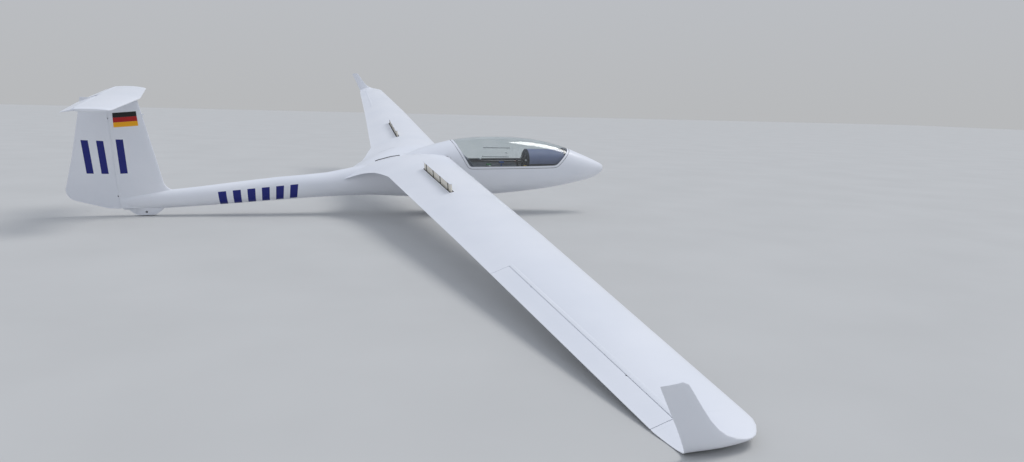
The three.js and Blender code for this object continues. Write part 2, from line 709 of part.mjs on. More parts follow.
function cockpitHollow() {
  const steps = union(
    block([-400, 400], [-2400, -200], [0, COCKPIT_FLOOR]),
    block([-400, 400], [-2400, FOOTWELL_STEP.y], [0, FOOTWELL_STEP.z]),
    block([-400, 400], [WHEEL_BOX.y, -200], [0, WHEEL_BOX.z]));
  return fuselageSolid(COCKPIT_START, COCKPIT_END, WALL).subtract(steps);
}

function tailWheelBox() {
  const { halfWidth, low } = TAIL_BOX;
  const outline = new THREE.Shape();
  outline.moveTo(3180, 130);
  outline.quadraticCurveTo(3230, 60, 3300, 22);
  outline.quadraticCurveTo(3330, low, 3360, low);
  outline.lineTo(3470, low);
  outline.quadraticCurveTo(3520, low, 3560, 40);
  outline.quadraticCurveTo(3610, 72, 3640, 110);
  const taper = planSlab([[0, 3170], [halfWidth, 3290], [halfWidth, 3500], [0, 3655],
    [-halfWidth, 3500], [-halfWidth, 3290]], 0, 200);
  const slotWidth = TAIL_WHEEL.width / 2 + RUNNING_GAP;
  const slotReach = TAIL_WHEEL.radius + RUNNING_GAP + 1;
  const centre = at(0, TAIL_WHEEL.y, TAIL_WHEEL.radius);
  const slot = union(
    bar(at(-slotWidth, centre.y, centre.z), at(slotWidth, centre.y, centre.z), slotReach),
    block([-slotWidth, slotWidth], [centre.y - slotReach, centre.y + slotReach], [-50, centre.z]));
  const bore = bar(at(-60, centre.y, centre.z), at(60, centre.y, centre.z), TAIL_WHEEL.bore);
  return { box: sideSlab(outline, -halfWidth, halfWidth).intersect(taper), cut: slot.add(bore) };
}

function canopyBrackets() {
  const { y, z, arm, thick, pin } = CANOPY_HINGE;
  const plateStart = arm + thick / 2 + 1;
  const plate = sideSlab([[y - 22, z - 16], [y + 22, z - 16], [y + 16, z + 110], [y - 30, z + 110]],
    plateStart, plateStart + 6);
  const pinBar = bar(at(arm - thick / 2 - 3, y, z), at(plateStart + 1, y, z), pin, pin, 12);
  const one = plate.add(pinBar);
  return union(one, mirrored(one));
}

function addFuselage({ fin, cone }) {
  const { y, reach } = { y: MAIN_WHEEL.y, reach: WHEEL_BAY.reach };
  const pod = fuselageSolid(FUSELAGE_SECTIONS[0][0], FUSELAGE_SECTIONS[12][0]);
  const outer = fuselageSolid(FUSELAGE_SECTIONS[0][0], FUSELAGE_SECTIONS.at(-1)[0]);
  const opening = sideSlab(grown(CANOPY_OUTLINE, RUNNING_GAP / 2), -400, 400);
  const bay = block([-WHEEL_BAY.halfWidth, WHEEL_BAY.halfWidth], [y - reach, y + reach],
    [0, MAIN_WHEEL.radius + reach]);
  const tailBox = tailWheelBox();
  const shell = union(pod, cone, wingFairing(), tailBox.box, fin)
    .subtract(cockpitHollow())
    .subtract(opening)
    .subtract(bay)
    .subtract(tailBox.cut);
  const brackets = canopyBrackets().intersect(fuselageSolid(COCKPIT_START, COCKPIT_END, 2));
  piece('fuselage', shell.add(brackets), PAINT.gelcoat);
  return outer;
}

// Canopy

function addCanopy() {
  const skin = fuselageSolid(COCKPIT_START - 60, COCKPIT_END + 80);
  const outline = grown(CANOPY_OUTLINE, -RUNNING_GAP / 2);
  const glassOutline = grown(outline, -CANOPY_FRAME_WIDTH);
  const hollow = (depth) => fuselageSolid(COCKPIT_START - 80, COCKPIT_END + 100, depth);
  const { y, z, arm, thick, pin } = CANOPY_HINGE;
  const neck = sideSlab(CANOPY_ARM, arm - thick / 2, arm + thick / 2)
    .add(bar(at(arm - thick / 2, y, z), at(arm + thick / 2, y, z), pin + 7, pin + 7, 16))
    .subtract(bar(at(0, y, z), at(200, y, z), pin + 0.5, pin + 0.5, 12));
  const frame = skin.intersect(sideSlab(outline, -400, 400))
    .subtract(hollow(CANOPY_FRAME_DEPTH))
    .subtract(sideSlab(glassOutline, -400, 400))
    .add(neck)
    .add(mirrored(neck));
  const pane = skin.intersect(sideSlab(grown(glassOutline, -SEAT_GAP), -400, 400))
    .subtract(hollow(CANOPY_GLASS));
  const window = sideSlab(CLEAR_VIEW, 100, 400);
  const place = at(0, y, z);
  piece('canopy_frame', frame, PAINT.gelcoat, { place, motion: { turnsAbout: at(1, 0, 0) } });
  piece('canopy_glass', pane.subtract(window), PAINT.glass, { place });
  piece('clear_view_window', pane.intersect(sideSlab(grown(CLEAR_VIEW, -SEAT_GAP), 100, 400)),
    PAINT.glass, { place });
}

// Cockpit fittings

const SEAT = {
  pan: [[-1225, 0], [-812, 0], [-812, 12], [-900, 12], [-1215, 58], [-1225, 58]],
  cushion: [[-1190, 54.7], [-900, 12.4], [-832, 12.3], [-838, 44], [-900, 48], [-1180, 88]],
  backLow: [-800, 358], backHigh: [-448, 783], thick: 22, halfWidth: 205,
};

// A slab that leans like the seat's back, from a depth behind its face to a depth before it.
function leaning(halfWidth, fromShare, toShare, behind, before, centre = 0) {
  const [low, high] = [at(0, ...SEAT.backLow), at(0, ...SEAT.backHigh)];
  const face = new THREE.Vector3().subVectors(high, low).normalize();
  const normal = at(0, -face.z, face.y);
  const point = (share, depth) => new THREE.Vector3().lerpVectors(low, high, share).addScaledVector(normal, depth);
  const outline = [point(fromShare, behind), point(toShare, behind), point(toShare, before),
    point(fromShare, before)].map((p) => [p.y, p.z]);
  return sideSlab(outline, centre - halfWidth, centre + halfWidth);
}

function addSeat(inside) {
  const floor = COCKPIT_FLOOR + SEAT_GAP;
  const onFloor = (outline) => outline.map(([y, z]) => [y, z + floor]);
  piece('seat_pan', sideSlab(onFloor(SEAT.pan), -215, 215).intersect(inside), PAINT.interior);
  const back = leaning(SEAT.halfWidth, -0.02, 1, -SEAT.thick, 0).intersect(inside);
  piece('seat_back', back, PAINT.interior);
  const backCushion = leaning(185, 0.12, 0.92, SEAT_GAP, 34);
  piece('back_cushion', backCushion, PAINT.fabric);
  piece('seat_cushion', sideSlab(onFloor(SEAT.cushion), -160, 160), PAINT.fabric);
  piece('headrest', leaning(85, 1 + 0.0006, 1.2, -SEAT.thick, 22), PAINT.fabric);
  const strap = (x) => leaning(22, 0.3, 0.97, 34 + SEAT_GAP, 38, x);
  const yoke = leaning(100, 0.28, 0.36, 34 + SEAT_GAP, 40);
  piece('harness', union(strap(-70), strap(70), yoke), PAINT.webbing);
}

function addFittings(inside) {
  const shelf = block([-280, 280], [-440, COCKPIT_END - SEAT_GAP], [640, 652]).intersect(inside);
  piece('baggage_shelf', shelf, PAINT.interior);
  const panelOutline = new THREE.Shape();
  panelOutline.moveTo(-85, COCKPIT_FLOOR + SEAT_GAP);
  panelOutline.lineTo(85, COCKPIT_FLOOR + SEAT_GAP);
  panelOutline.lineTo(95, 560);
  panelOutline.quadraticCurveTo(150, 590, 160, 700);
  panelOutline.quadraticCurveTo(150, 835, 0, 850);
  panelOutline.quadraticCurveTo(-150, 835, -160, 700);
  panelOutline.quadraticCurveTo(-150, 590, -95, 560);
  piece('instrument_panel', frontSlab(panelOutline, -1352, -1330), PAINT.panel);
  const hood = new THREE.Shape();
  hood.moveTo(-172, 690);
  hood.quadraticCurveTo(-165, 850, 0, 866);
  hood.quadraticCurveTo(165, 850, 172, 690);
  hood.lineTo(150, 690);
  hood.quadraticCurveTo(140, 820, 0, 836);
  hood.quadraticCurveTo(-140, 820, -150, 690);
  piece('instrument_cover', frontSlab(hood, -1860, -1352 - SEAT_GAP)
    .intersect(fuselageSolid(COCKPIT_START, COCKPIT_END, 60)), PAINT.cover);
  const dials = [[-62, 770, 38], [62, 770, 38], [-62, 680, 38], [62, 680, 38], [0, 610, 28]];
  const rail = block([-64, 64], [-1330 + SEAT_GAP, -1328], [608, 772]);
  piece('instruments', union(rail, ...dials.map(([x, z, radius]) => bar(
    at(x, -1330 + SEAT_GAP, z), at(x, -1322, z), radius))), PAINT.dial);
  const stickFoot = at(0, -1262, COCKPIT_FLOOR + 30);
  const stickTop = at(0, -1240, 620);
  piece('control_stick', union(
    bar(stickFoot, stickTop, 11, 9, 16),
    bar(stickTop, at(0, -1222, 720), 16, 14, 16),
    bar(at(0, -1262, COCKPIT_FLOOR + SEAT_GAP), at(0, -1262, COCKPIT_FLOOR + 60), 32, 16, 16)),
  PAINT.black);
  const pedal = (x) => union(
    block([x - 8, x + 8], [-1930, -1912], [FOOTWELL_STEP.z + 4, 520]),
    block([x - 42, x + 42], [-1934, -1924], [505, 610]));
  piece('rudder_pedals', union(pedal(-75), pedal(75),
    block([-95, 95], [-1945, -1900], [FOOTWELL_STEP.z + SEAT_GAP, FOOTWELL_STEP.z + 14])), PAINT.steel);
  for (const [name, side] of SIDES) {
    const ledge = onSide(side, block([222, 300], [-1300, -700], [470, 560]));
    piece(`side_console_${name}`, ledge.intersect(inside), PAINT.interior);
  }
  const lever = (y, x, height) => union(
    bar(at(x, y, 560 + SEAT_GAP), at(x, y, 560 + height), 7, 7, 12),
    bar(at(x, y - 30, 560 + height), at(x, y + 30, 560 + height), 13, 13, 14));
  piece('airbrake_lever', lever(-1080, 245, 70), PAINT.knobBlue);
  piece('trim_lever', lever(-900, 245, 40), PAINT.knobGreen);
  piece('gear_lever', lever(-1050, -245, 60), PAINT.black);
  piece('release_knob', bar(at(-110, -1330 + SEAT_GAP, 645), at(-110, -1295, 645), 15, 15, 16), PAINT.knobYellow);
}

// Landing gear

function wheel(name, { y, radius, width }, beadRadius, boreRadius, rimProfile, sides, place) {
  const half = width / 2;
  const shoulder = Math.min(half, (radius - beadRadius) * 0.62);
  const tyreProfile = [[beadRadius, -half * 0.72]];
  const steps = 8;
  for (let k = 0; k <= steps; k += 1) {
    const turn = -Math.PI / 2 + (Math.PI * k) / steps;
    tyreProfile.push([radius - shoulder + shoulder * Math.cos(turn), half * Math.sin(turn)]);
  }
  tyreProfile.push([beadRadius, half * 0.72], [beadRadius, -half * 0.72]);
  const spun = (profile) => {
    const geometry = new THREE.LatheGeometry(profile.map(([r, h]) => new THREE.Vector2(r, h)), sides);
    geometry.rotateZ(-Math.PI / 2);
    geometry.translate(place.x, place.y, place.z);
    return solidOf(geometry);
  };
  const motion = { turnsAbout: at(1, 0, 0) };
  piece(`${name}_tyre`, spun(tyreProfile), PAINT.tyre, { place, motion });
  const rim = spun(rimProfile).subtract(bar(
    at(-width, place.y, place.z), at(width, place.y, place.z), boreRadius));
  piece(`${name}_rim`, rim, PAINT.rim, { place, motion });
}

function addMainGear(outer) {
  const { y, radius, width, bead, axle, bore } = MAIN_WHEEL;
  const centre = at(0, y, radius);
  const inner = bead - SEAT_GAP;
  wheel('main', MAIN_WHEEL, bead, bore, [
    [0, -48], [22, -48], [22, -20], [50, -16], [inner - 8, -44], [inner, -44], [inner, 44],
    [inner - 8, 44], [50, 16], [22, 20], [22, 48], [0, 48]], 32, centre);
  const roof = radius + WHEEL_BAY.reach - SEAT_GAP;
  const leg = sideSlab([[y - 20, radius - 24], [y + 20, radius - 24], [y + GEAR_LEG.halfWidth, radius],
    [y + 60, roof], [y - 60, roof], [y - GEAR_LEG.halfWidth, radius]],
  GEAR_LEG.x, GEAR_LEG.x + GEAR_LEG.thick);
  const beam = block([-GEAR_LEG.x - 6, GEAR_LEG.x + 6], [y + 25, y + 55], [roof - 12, roof]);
  const shaft = bar(at(-GEAR_LEG.x - 20, y, radius), at(GEAR_LEG.x + 20, y, radius), axle);
  piece('main_gear_leg', union(leg, mirrored(leg), beam, shaft), PAINT.steel);
  const grownHull = fuselageSolid(FUSELAGE_SECTIONS[9][0], FUSELAGE_SECTIONS[14][0], -SEAT_GAP);
  for (const [name, side] of SIDES) {
    const { x, thick, drop, lean } = GEAR_DOOR;
    const slab = block([0, thick], [y - 195, y + 195], [-drop, 60]).rotate([0, -lean, 0])
      .translate([x, 0, 246]).subtract(grownHull);
    piece(`gear_door_${name}`, onSide(side, slab), PAINT.gelcoat);
  }
  const hookY = -610;
  const hook = union(
    block([-16, 16], [hookY - 40, hookY + 40], [214, 260]),
    block([-5, 5], [hookY - 30, hookY - 4], [196, 220])).subtract(grownHull);
  piece('tow_hook', hook, PAINT.steel);
  return outer;
}

function addTailGear() {
  const { y, radius, hub, axle, bore, width } = TAIL_WHEEL;
  const centre = at(0, y, radius);
  const inner = hub - SEAT_GAP;
  const half = width / 2;
  wheel('tail', TAIL_WHEEL, hub, bore, [[0, -half], [12, -half], [12, -half + 3], [inner, -half + 6],
    [inner, half - 6], [12, half - 3], [12, half], [0, half]], 24, centre);
  piece('tail_axle', bar(at(-TAIL_BOX.halfWidth + 1, y, radius), at(TAIL_BOX.halfWidth - 1, y, radius), axle),
    PAINT.steel);
}

function addProbeSocket() {
  const z = 1221;
  const [, lead] = straightRow(TAIL_STATIONS, z);
  const tube = bar(at(0, lead - 22, z), at(0, lead + 30, z), 7, 7, 16);
  const mouth = bar(at(0, lead - 30, z), at(0, lead - 8, z), 4, 4, 12);
  return tube.subtract(mouth);
}

// Turns and lowers the airframe until three of its pieces stand on one level floor.
function standOn(group, names) {
  const lowest = (mesh) => {
    const points = mesh.geometry.attributes.position;
    const low = at(0, 0, Infinity);
    const point = at(0, 0, 0);
    for (let k = 0; k < points.count; k += 1) {
      point.fromBufferAttribute(points, k).applyMatrix4(mesh.matrixWorld);
      if (point.z < low.z) low.copy(point);
    }
    return low;
  };
  const meshes = names.map((name) => group.getObjectByName(name));
  for (let round = 0; round < 12; round += 1) {
    group.updateMatrixWorld(true);
    const [a, b, c] = meshes.map(lowest);
    const normal = b.sub(a).cross(c.clone().sub(a)).normalize();
    if (normal.z < 0) normal.negate();
    group.quaternion.premultiply(new THREE.Quaternion().setFromUnitVectors(normal, UP));
    group.updateMatrixWorld(true);
    group.position.z -= lowest(meshes[0]).z;
  }
}

addWings();
const tailParts = addTail();
tailParts.fin = tailParts.fin.add(addProbeSocket());
const outerHull = addFuselage(tailParts);
addCanopy();
const cockpitInside = fuselageSolid(COCKPIT_START, COCKPIT_END, WALL + SEAT_GAP);
addSeat(cockpitInside);
addFittings(cockpitInside);
addMainGear(outerHull);
addTailGear();

const bank = 5.5;
airframe.rotation.y = -radians(bank);
standOn(airframe, ['main_tyre', 'tail_tyre', 'wing_tip_starboard']);

// The origin is on the floor, below the middle of the whole sailplane.
const sailplane = new THREE.Group();
sailplane.add(airframe);
sailplane.updateMatrixWorld(true);
const extent = new THREE.Box3().setFromObject(airframe, true);
const middle = extent.getCenter(new THREE.Vector3());
airframe.position.x -= middle.x;
airframe.position.y -= middle.y;
airframe.position.z -= extent.min.z;

export default sailplane;
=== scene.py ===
# A parked single-seat sailplane with a T-tail, dressed over its solid model.
# The tables are in millimetres in the airframe's own frame: nose along -Y, port wing along +X,
# up along +Z. AIRFRAME takes that frame to the model's, where the starboard wing tip is down.

import math

import bmesh
import bpy
import numpy as np
from mathutils import Matrix, Vector
from mathutils.bvhtree import BVHTree


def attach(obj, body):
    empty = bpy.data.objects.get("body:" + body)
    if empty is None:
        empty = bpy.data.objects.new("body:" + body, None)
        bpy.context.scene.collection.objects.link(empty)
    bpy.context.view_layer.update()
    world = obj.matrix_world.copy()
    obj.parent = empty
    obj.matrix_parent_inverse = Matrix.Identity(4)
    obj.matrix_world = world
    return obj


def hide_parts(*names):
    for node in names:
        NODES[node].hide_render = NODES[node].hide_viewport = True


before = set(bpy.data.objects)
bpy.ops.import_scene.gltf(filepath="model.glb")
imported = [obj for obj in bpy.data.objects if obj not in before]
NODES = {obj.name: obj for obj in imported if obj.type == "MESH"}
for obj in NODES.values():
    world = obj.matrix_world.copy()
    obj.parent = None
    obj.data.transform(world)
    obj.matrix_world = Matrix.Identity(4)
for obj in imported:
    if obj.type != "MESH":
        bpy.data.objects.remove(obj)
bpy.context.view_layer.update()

MM = 0.001


def add_object(name, data):
    made = bpy.data.objects.new(name, data)
    bpy.context.scene.collection.objects.link(made)
    return made


BANK_COS = 0.993817
BANK_SIN = 0.111029
BANK_PLACE = (0.121114, -0.898333, 0.0)
AIRFRAME = Matrix((
    (BANK_COS, 0, -BANK_SIN, BANK_PLACE[0]),
    (0, 1, 0, BANK_PLACE[1]),
    (BANK_SIN, 0, BANK_COS, BANK_PLACE[2]),
    (0, 0, 0, 1)))
FROM_MM = AIRFRAME @ Matrix.Scale(MM, 4)
TO_MM = FROM_MM.inverted()

# Camera

CAMERA = {"place": (-10.16552, 0.88467, 1.4424), "yaw": -16.211, "pitch": -9.1341, "roll": 1.5506,
          "lens": 27.585, "sensor": 36.0}


def add_camera():
    data = bpy.data.cameras.new("camera")
    data.lens = CAMERA["lens"]
    data.sensor_width = CAMERA["sensor"]
    data.clip_end = 400
    camera = add_object("camera", data)
    yaw, pitch, roll = (math.radians(CAMERA[key]) for key in ("yaw", "pitch", "roll"))
    ahead = Vector((math.cos(pitch) * math.cos(yaw), math.cos(pitch) * math.sin(yaw), math.sin(pitch)))
    level = ahead.cross(Vector((0, 0, 1))).normalized()
    above = level.cross(ahead)
    right = math.cos(roll) * level + math.sin(roll) * above
    up = right.cross(ahead)
    axes = Matrix((right, up, -ahead)).transposed().to_4x4()
    camera.matrix_world = Matrix.Translation(CAMERA["place"]) @ axes
    bpy.context.scene.camera = camera


add_camera()

# Shape tables, the same as the solid model's
# Fuselage: y, top, bottom, half width, height of the widest place

FUSELAGE_SECTIONS = np.array([
    [-2477, 632, 606, 16, 619],
    [-2466, 654, 574, 45, 614],
    [-2449, 668, 556, 62, 612],
    [-2412, 686, 528, 86, 608],
    [-2330, 723, 486, 124, 604],
    [-2229, 765, 453, 160, 602],
    [-2017, 848, 406, 214, 604],
    [-1800, 922, 362, 253, 612],
    [-1549, 981, 322, 281, 625],
    [-1250, 1016, 287, 300, 640],
    [-982, 1024, 260, 306, 648],
    [-600, 1013, 236, 306, 650],
    [-270, 960, 224, 297, 640],
    [100, 850, 222, 268, 600],
    [430, 715, 232, 225, 540],
    [760, 648, 245, 183, 474],
    [1288, 533, 226, 148, 388],
    [1888, 474, 182, 131, 330],
    [2796, 356, 116, 108, 236],
    [3150, 316, 94, 90, 204],
    [3450, 290, 80, 66, 184],
    [3722, 268, 69, 46, 168],
], dtype=float)
POD_SQUARENESS = 2.25
ROUND_FROM = 1200
WALL = 16

# Wing: x, leading edge y, trailing edge y, thickness to chord, droop of the trailing edge
WING_STATIONS = np.array([
    [400, -236, 815, 0.1363, 44],
    [550, -239, 752, 0.1431, 20],
    [700, -240, 712, 0.1474, 8],
    [850, -241, 668, 0.1528, 2],
    [1000, -242, 630, 0.1577, 0],
    [4065, -264, 416, 0.158, 0],
    [7222, -248, 219, 0.145, 0],
])
DROOP_START = 0.45
WING_CAMBER = 0.028
WING_HEIGHT = 749
WING_INCIDENCE = 7.1
WING_DIHEDRAL = 0.72
TRAILING_EDGE = 1.5

# Wing root fairing: x, leading edge y, trailing edge y, thickness, droop, depth below the wing's plane
FAIRING_STATIONS = np.array([
    [20, -330, 1200, 110, 150, 40],
    [110, -310, 1150, 125, 128, 34],
    [160, -295, 1086, 135, 106, 26],
    [230, -272, 990, 142, 82, 14],
    [330, -248, 884, 146, 56, 4],
    [400, -236, 815, 143.3, 44, 0],
])

# Wing tip and winglet: x, z, cant in degrees, leading edge y, trailing edge y, thickness to chord
TIP_STATIONS = np.array([
    [7222.3, 0, 0, -248, 219, 0.145],
    [7290, 2, 2, -243, 210, 0.14],
    [7345, 6, 5, -224, 204, 0.135],
    [7390, 11, 10, -197, 199, 0.13],
    [7426, 18, 19, -171, 196, 0.127],
    [7454, 27, 32, -136, 196, 0.122],
    [7471, 39, 47, -96, 199, 0.117],
    [7481, 58, 62, -46, 205, 0.112],
    [7485, 86, 71, 3, 213, 0.108],
    [7488, 122, 75, 43, 224, 0.104],
    [7491, 180, 77, 86, 243, 0.1],
    [7494, 250, 78, 126, 269, 0.1],
    [7498, 318, 79, 162, 294, 0.1],
    [7501, 370, 80, 190, 313, 0.095],
    [7502, 388, 80, 218, 319, 0.08],
])

# Vertical tail: z, leading edge y, trailing edge y, thickness
TAIL_STATIONS = np.array([
    [100, 3120, 4310, 92], [300, 3070, 4280, 92], [330, 3140, 4270, 93], [362, 3176, 4262, 94],
    [399, 3199, 4252, 94], [684, 3267, 4182, 84], [1219, 3395, 4074, 66], [1412, 3441, 4040, 60],
], dtype=float)

# Horizontal tail: x, leading edge y, trailing edge y, thickness
STABILIZER_HEIGHT = 1409
STABILIZER_STATIONS = np.array([
    [0, 3401, 4045, 70], [1095, 3500, 3992, 56], [1128, 3508, 3990, 45], [1144, 3526, 3985, 22],
], dtype=float)
ELEVATOR_Y = 3862
ELEVATOR_DROOP = 14

AILERON = {"inner": (4828, 230), "outer": (7188, 111)}
AIRBRAKE = {"inner": (1175, 220), "outer": (2474, 169), "height": 90, "raised": 85, "thick": 12}
HINGE_LOW = (3704, 105)
HINGE_HIGH = (3766, 1195)
SIDES = (("port", 1), ("starboard", -1))


def panel_matrix(side):
    turn = Matrix.Rotation(-side * math.radians(WING_DIHEDRAL), 4, "Y")
    tilt = Matrix.Rotation(-math.radians(WING_INCIDENCE), 4, "X")
    return Matrix.Translation((0, 0, WING_HEIGHT)) @ turn @ tilt


PANELS = {name: panel_matrix(side) for name, side in SIDES}


def row_before(table, place):
    return int(min(len(table) - 2, max(0, np.sum(table[:, 0] <= place) - 1)))


def straight_row(table, place):
    k = row_before(table, place)
    t = (place - table[k][0]) / (table[k + 1][0] - table[k][0])
    return table[k] + t * (table[k + 1] - table[k])


def smooth_row(table, place):
    k = row_before(table, place)
    a, b = table[k], table[k + 1]
    span = b[0] - a[0]
    t = (place - a[0]) / span

    def slope(j):
        before = table[max(0, j - 1)]
        after = table[min(len(table) - 1, j + 1)]
        return (after - before) / (after[0] - before[0])

    return ((2 * t ** 3 - 3 * t ** 2 + 1) * a + (t ** 3 - 2 * t ** 2 + t) * slope(k) * span
            + (3 * t ** 2 - 2 * t ** 3) * b + (t ** 3 - t ** 2) * slope(k + 1) * span)


def roundness_at(y):
    """The power of the pod's section, which turns into a plain ellipse along the boom."""
    return POD_SQUARENESS + (2 - POD_SQUARENESS) * min(1, max(0, y / ROUND_FROM))


def fuselage_ring(y, count=112):
    _, top, bottom, half, wide = smooth_row(FUSELAGE_SECTIONS, y)
    roundness = roundness_at(y)
    turn = 2 * np.pi * (np.arange(count) + 0.5) / count
    s, c = np.sin(turn), np.cos(turn)
    rise = np.where(c > 0, top - wide, wide - bottom)
    x = np.sign(s) * half * np.abs(s) ** (2 / roundness)
    z = wide + np.sign(c) * rise * np.abs(c) ** (2 / roundness)
    return np.stack([x, np.full(count, float(y)), z], axis=1)


def thickness_at(s):
    return np.sqrt(s) * (1 - s) ** 1.35 * (1 + 1.6 * s) / 0.522


def airfoil(chord, thickness, camber=0.0, count=90):
    turn = 2 * np.pi * np.arange(count) / (count - 1)
    s = np.clip((1 + np.cos(turn)) / 2, 0, 1)
    half = thickness / 2 * thickness_at(s) + TRAILING_EDGE * s
    return s * chord, camber * 4 * s * (1 - s) + np.where(turn < np.pi, half, -half)


def droop_at(s, droop):
    return droop * (np.maximum(0, s - DROOP_START) / (1 - DROOP_START)) ** 2


def wing_point(x, y, lift=0.0, under=False):
    """A place on the wing's skin in its panel's frame, from its plan place."""
    _, lead, trail, ratio, droop = straight_row(WING_STATIONS, x)
    chord = trail - lead
    s = (y - lead) / chord
    half = ratio * chord * thickness_at(s) / 2 + TRAILING_EDGE * s
    middle = WING_CAMBER * chord * 4 * s * (1 - s) - droop_at(s, droop)
    return Vector((x, y, middle + (-half - lift if under else half + lift)))


def placed(matrix, rows):
    flat = rows.reshape(-1, 3) @ np.array(matrix.to_3x3()).T + np.array(matrix.translation)
    return flat.reshape(rows.shape)


class Patch:
    """A smooth surface of the real shape, which gives the coarse solid its shading normals."""

    def __init__(self, rows, closed=False):
        count, around = rows.shape[:2]
        if closed:
            wide = np.concatenate([rows[:, -1:], rows, rows[:, :1]], axis=1)
            across = np.gradient(wide, axis=1)[:, 1:-1]
        else:
            across = np.gradient(rows, axis=1)
        along = np.gradient(rows, axis=0)
        normals = np.cross(along, across)
        normals /= np.maximum(np.linalg.norm(normals, axis=2, keepdims=True), 1e-9)
        outward = rows - rows.mean(axis=1, keepdims=True)
        if np.sum(normals * outward) < 0:
            normals = -normals
        self.points = rows.reshape(-1, 3)
        self.normals = normals.reshape(-1, 3)
        quads = []
        for r in range(count - 1):
            for k in range(around if closed else around - 1):
                nearby = (k + 1) % around
                quads.append((r * around + k, r * around + nearby,
                              (r + 1) * around + nearby, (r + 1) * around + k))
        self.quads = quads
        self.tree = BVHTree.FromPolygons([Vector(p) for p in self.points], quads)

    def normal_near(self, place):
        found, _, index, distance = self.tree.find_nearest(place)
        if found is None:
            return None, 1e9
        corners = self.quads[index]
        spread = [1 / (1e-3 + (Vector(self.points[c]) - found).length) ** 2 for c in corners]
        blend = sum((Vector(self.normals[c]) * w for c, w in zip(corners, spread)), Vector())
        return blend.normalized(), distance


def steps(start, end, count):
    return [start + (end - start) * k / (count - 1) for k in range(count)]


def loft_patch(table, start, end, count, ring, matrix=None):
    rows = np.stack([ring(straight_row(table, place)) for place in steps(start, end, count)])
    return Patch(placed(matrix, rows) if matrix else rows)


def fairing_section(row, side):
    x, lead, trail, thickness, droop, sink = row
    chord = trail - lead
    along, across = airfoil(chord, thickness, WING_CAMBER * chord)
    height = across - droop_at(along / chord, droop) - sink
    return np.stack([np.full(along.shape, side * x), lead + along, height], axis=1)


def wing_section(row, side):
    x, lead, trail, ratio, droop = row
    return fairing_section((x, lead, trail, ratio * (trail - lead), droop, 0), side)


def tip_section(row, side):
    x, z, cant, lead, trail, ratio = row
    chord = trail - lead
    turn = math.radians(cant)
    along, across = airfoil(chord, ratio * chord, WING_CAMBER * chord * math.cos(turn))
    return np.stack([side * (x - math.sin(turn) * across), lead + along, z + math.cos(turn) * across], axis=1)


def fin_section(row):
    z, lead, trail, thickness = row
    along, across = airfoil(trail - lead, thickness)
    return np.stack([across, lead + along, np.full(along.shape, z)], axis=1)


def tailplane_section(row, side):
    x, lead, trail, thickness = row
    along, across = airfoil(trail - lead, thickness)
    return np.stack([np.full(along.shape, side * x), lead + along, STABILIZER_HEIGHT + across], axis=1)


def tip_patch(side):
    numbered = np.column_stack([np.arange(len(TIP_STATIONS)), TIP_STATIONS])
    places = np.linspace(0, len(TIP_STATIONS) - 1, 72)
    rows = [tip_section(smooth_row(numbered, place)[1:], side) for place in places]
    return Patch(placed(PANELS["port" if side > 0 else "starboard"], np.stack(rows)))


ELEVATOR_HINGE = Vector((0, ELEVATOR_Y, STABILIZER_HEIGHT))
DROOPED = (Matrix.Translation(ELEVATOR_HINGE) @ Matrix.Rotation(-math.radians(ELEVATOR_DROOP), 4, "X")
           @ Matrix.Translation(-ELEVATOR_HINGE))
NOSE_END, BOOM_END = FUSELAGE_SECTIONS[0][0], FUSELAGE_SECTIONS[-1][0]
OUTER = Patch(np.stack([fuselage_ring(y) for y in np.linspace(NOSE_END, BOOM_END, 260)]), closed=True)
FINS = [loft_patch(TAIL_STATIONS, start, end, count, fin_section)
        for start, end, count in ((100, 399, 60), (399, 1412, 40))]
WINGS = {}
TIPS = {}
FAIRINGS = []
TAILPLANES = []
for side_name, side in SIDES:
    panel = PANELS[side_name]
    WINGS[side_name] = [loft_patch(WING_STATIONS, start, end, 24, lambda row: wing_section(row, side), panel)
                        for start, end in ((400, 1000), (1000, 4065), (4065, 7222))]
    TIPS[side_name] = [tip_patch(side)]
    FAIRINGS.append(loft_patch(FAIRING_STATIONS, 20, 400, 40, lambda row: fairing_section(row, side), panel))
    TAILPLANES += [loft_patch(STABILIZER_STATIONS, start, end, 12, lambda row: tailplane_section(row, side))
                   for start, end in ((0, 1095), (1095, 1144))]

# How near a patch lies, in mm, and how far its slope may differ, for a corner to take its normal
NEAR = 7.0
SAME_WAY = math.cos(math.radians(42))
SOFT_EDGE = math.cos(math.radians(35))


def shade_smoothly(node, patches, shift):
    """Gives a solid's corners smooth normals, from the patches it lies on or else by its own faces."""
    mesh = node.data
    to_local = shift.inverted() @ TO_MM
    turn_back = (AIRFRAME @ shift).to_3x3()
    meeting = {}
    for face in mesh.polygons:
        for v in face.vertices:
            key = tuple(round(c, 5) for c in mesh.vertices[v].co)
            meeting.setdefault(key, []).append((face.normal.copy(), face.area))
    normals = []
    for face in mesh.polygons:
        centre = to_local @ face.center
        facing = (turn_back.inverted() @ face.normal).normalized()
        for v in face.vertices:
            place = mesh.vertices[v].co
            local = to_local @ place
            inward = centre - local
            local = local + inward.normalized() * min(0.5, inward.length / 4)
            best = None
            for patch in patches:
                normal, distance = patch.normal_near(local)
                if normal is None or distance > NEAR or normal.dot(facing) < SAME_WAY:
                    continue
                score = distance + 8 * (1 - normal.dot(facing))
                if best is None or score < best[0]:
                    best = (score, normal)
            if best:
                normals.append((turn_back @ best[1]).normalized())
                continue
            key = tuple(round(c, 5) for c in place)
            total = Vector()
            for normal, area in meeting[key]:
                if normal.dot(face.normal) > SOFT_EDGE:
                    total += normal * max(area, 1e-9)
            normals.append(total.normalized() if total.length > 0 else face.normal.copy())
    mesh.polygons.foreach_set("use_smooth", [True] * len(mesh.polygons))
    mesh.normals_split_custom_set(normals)


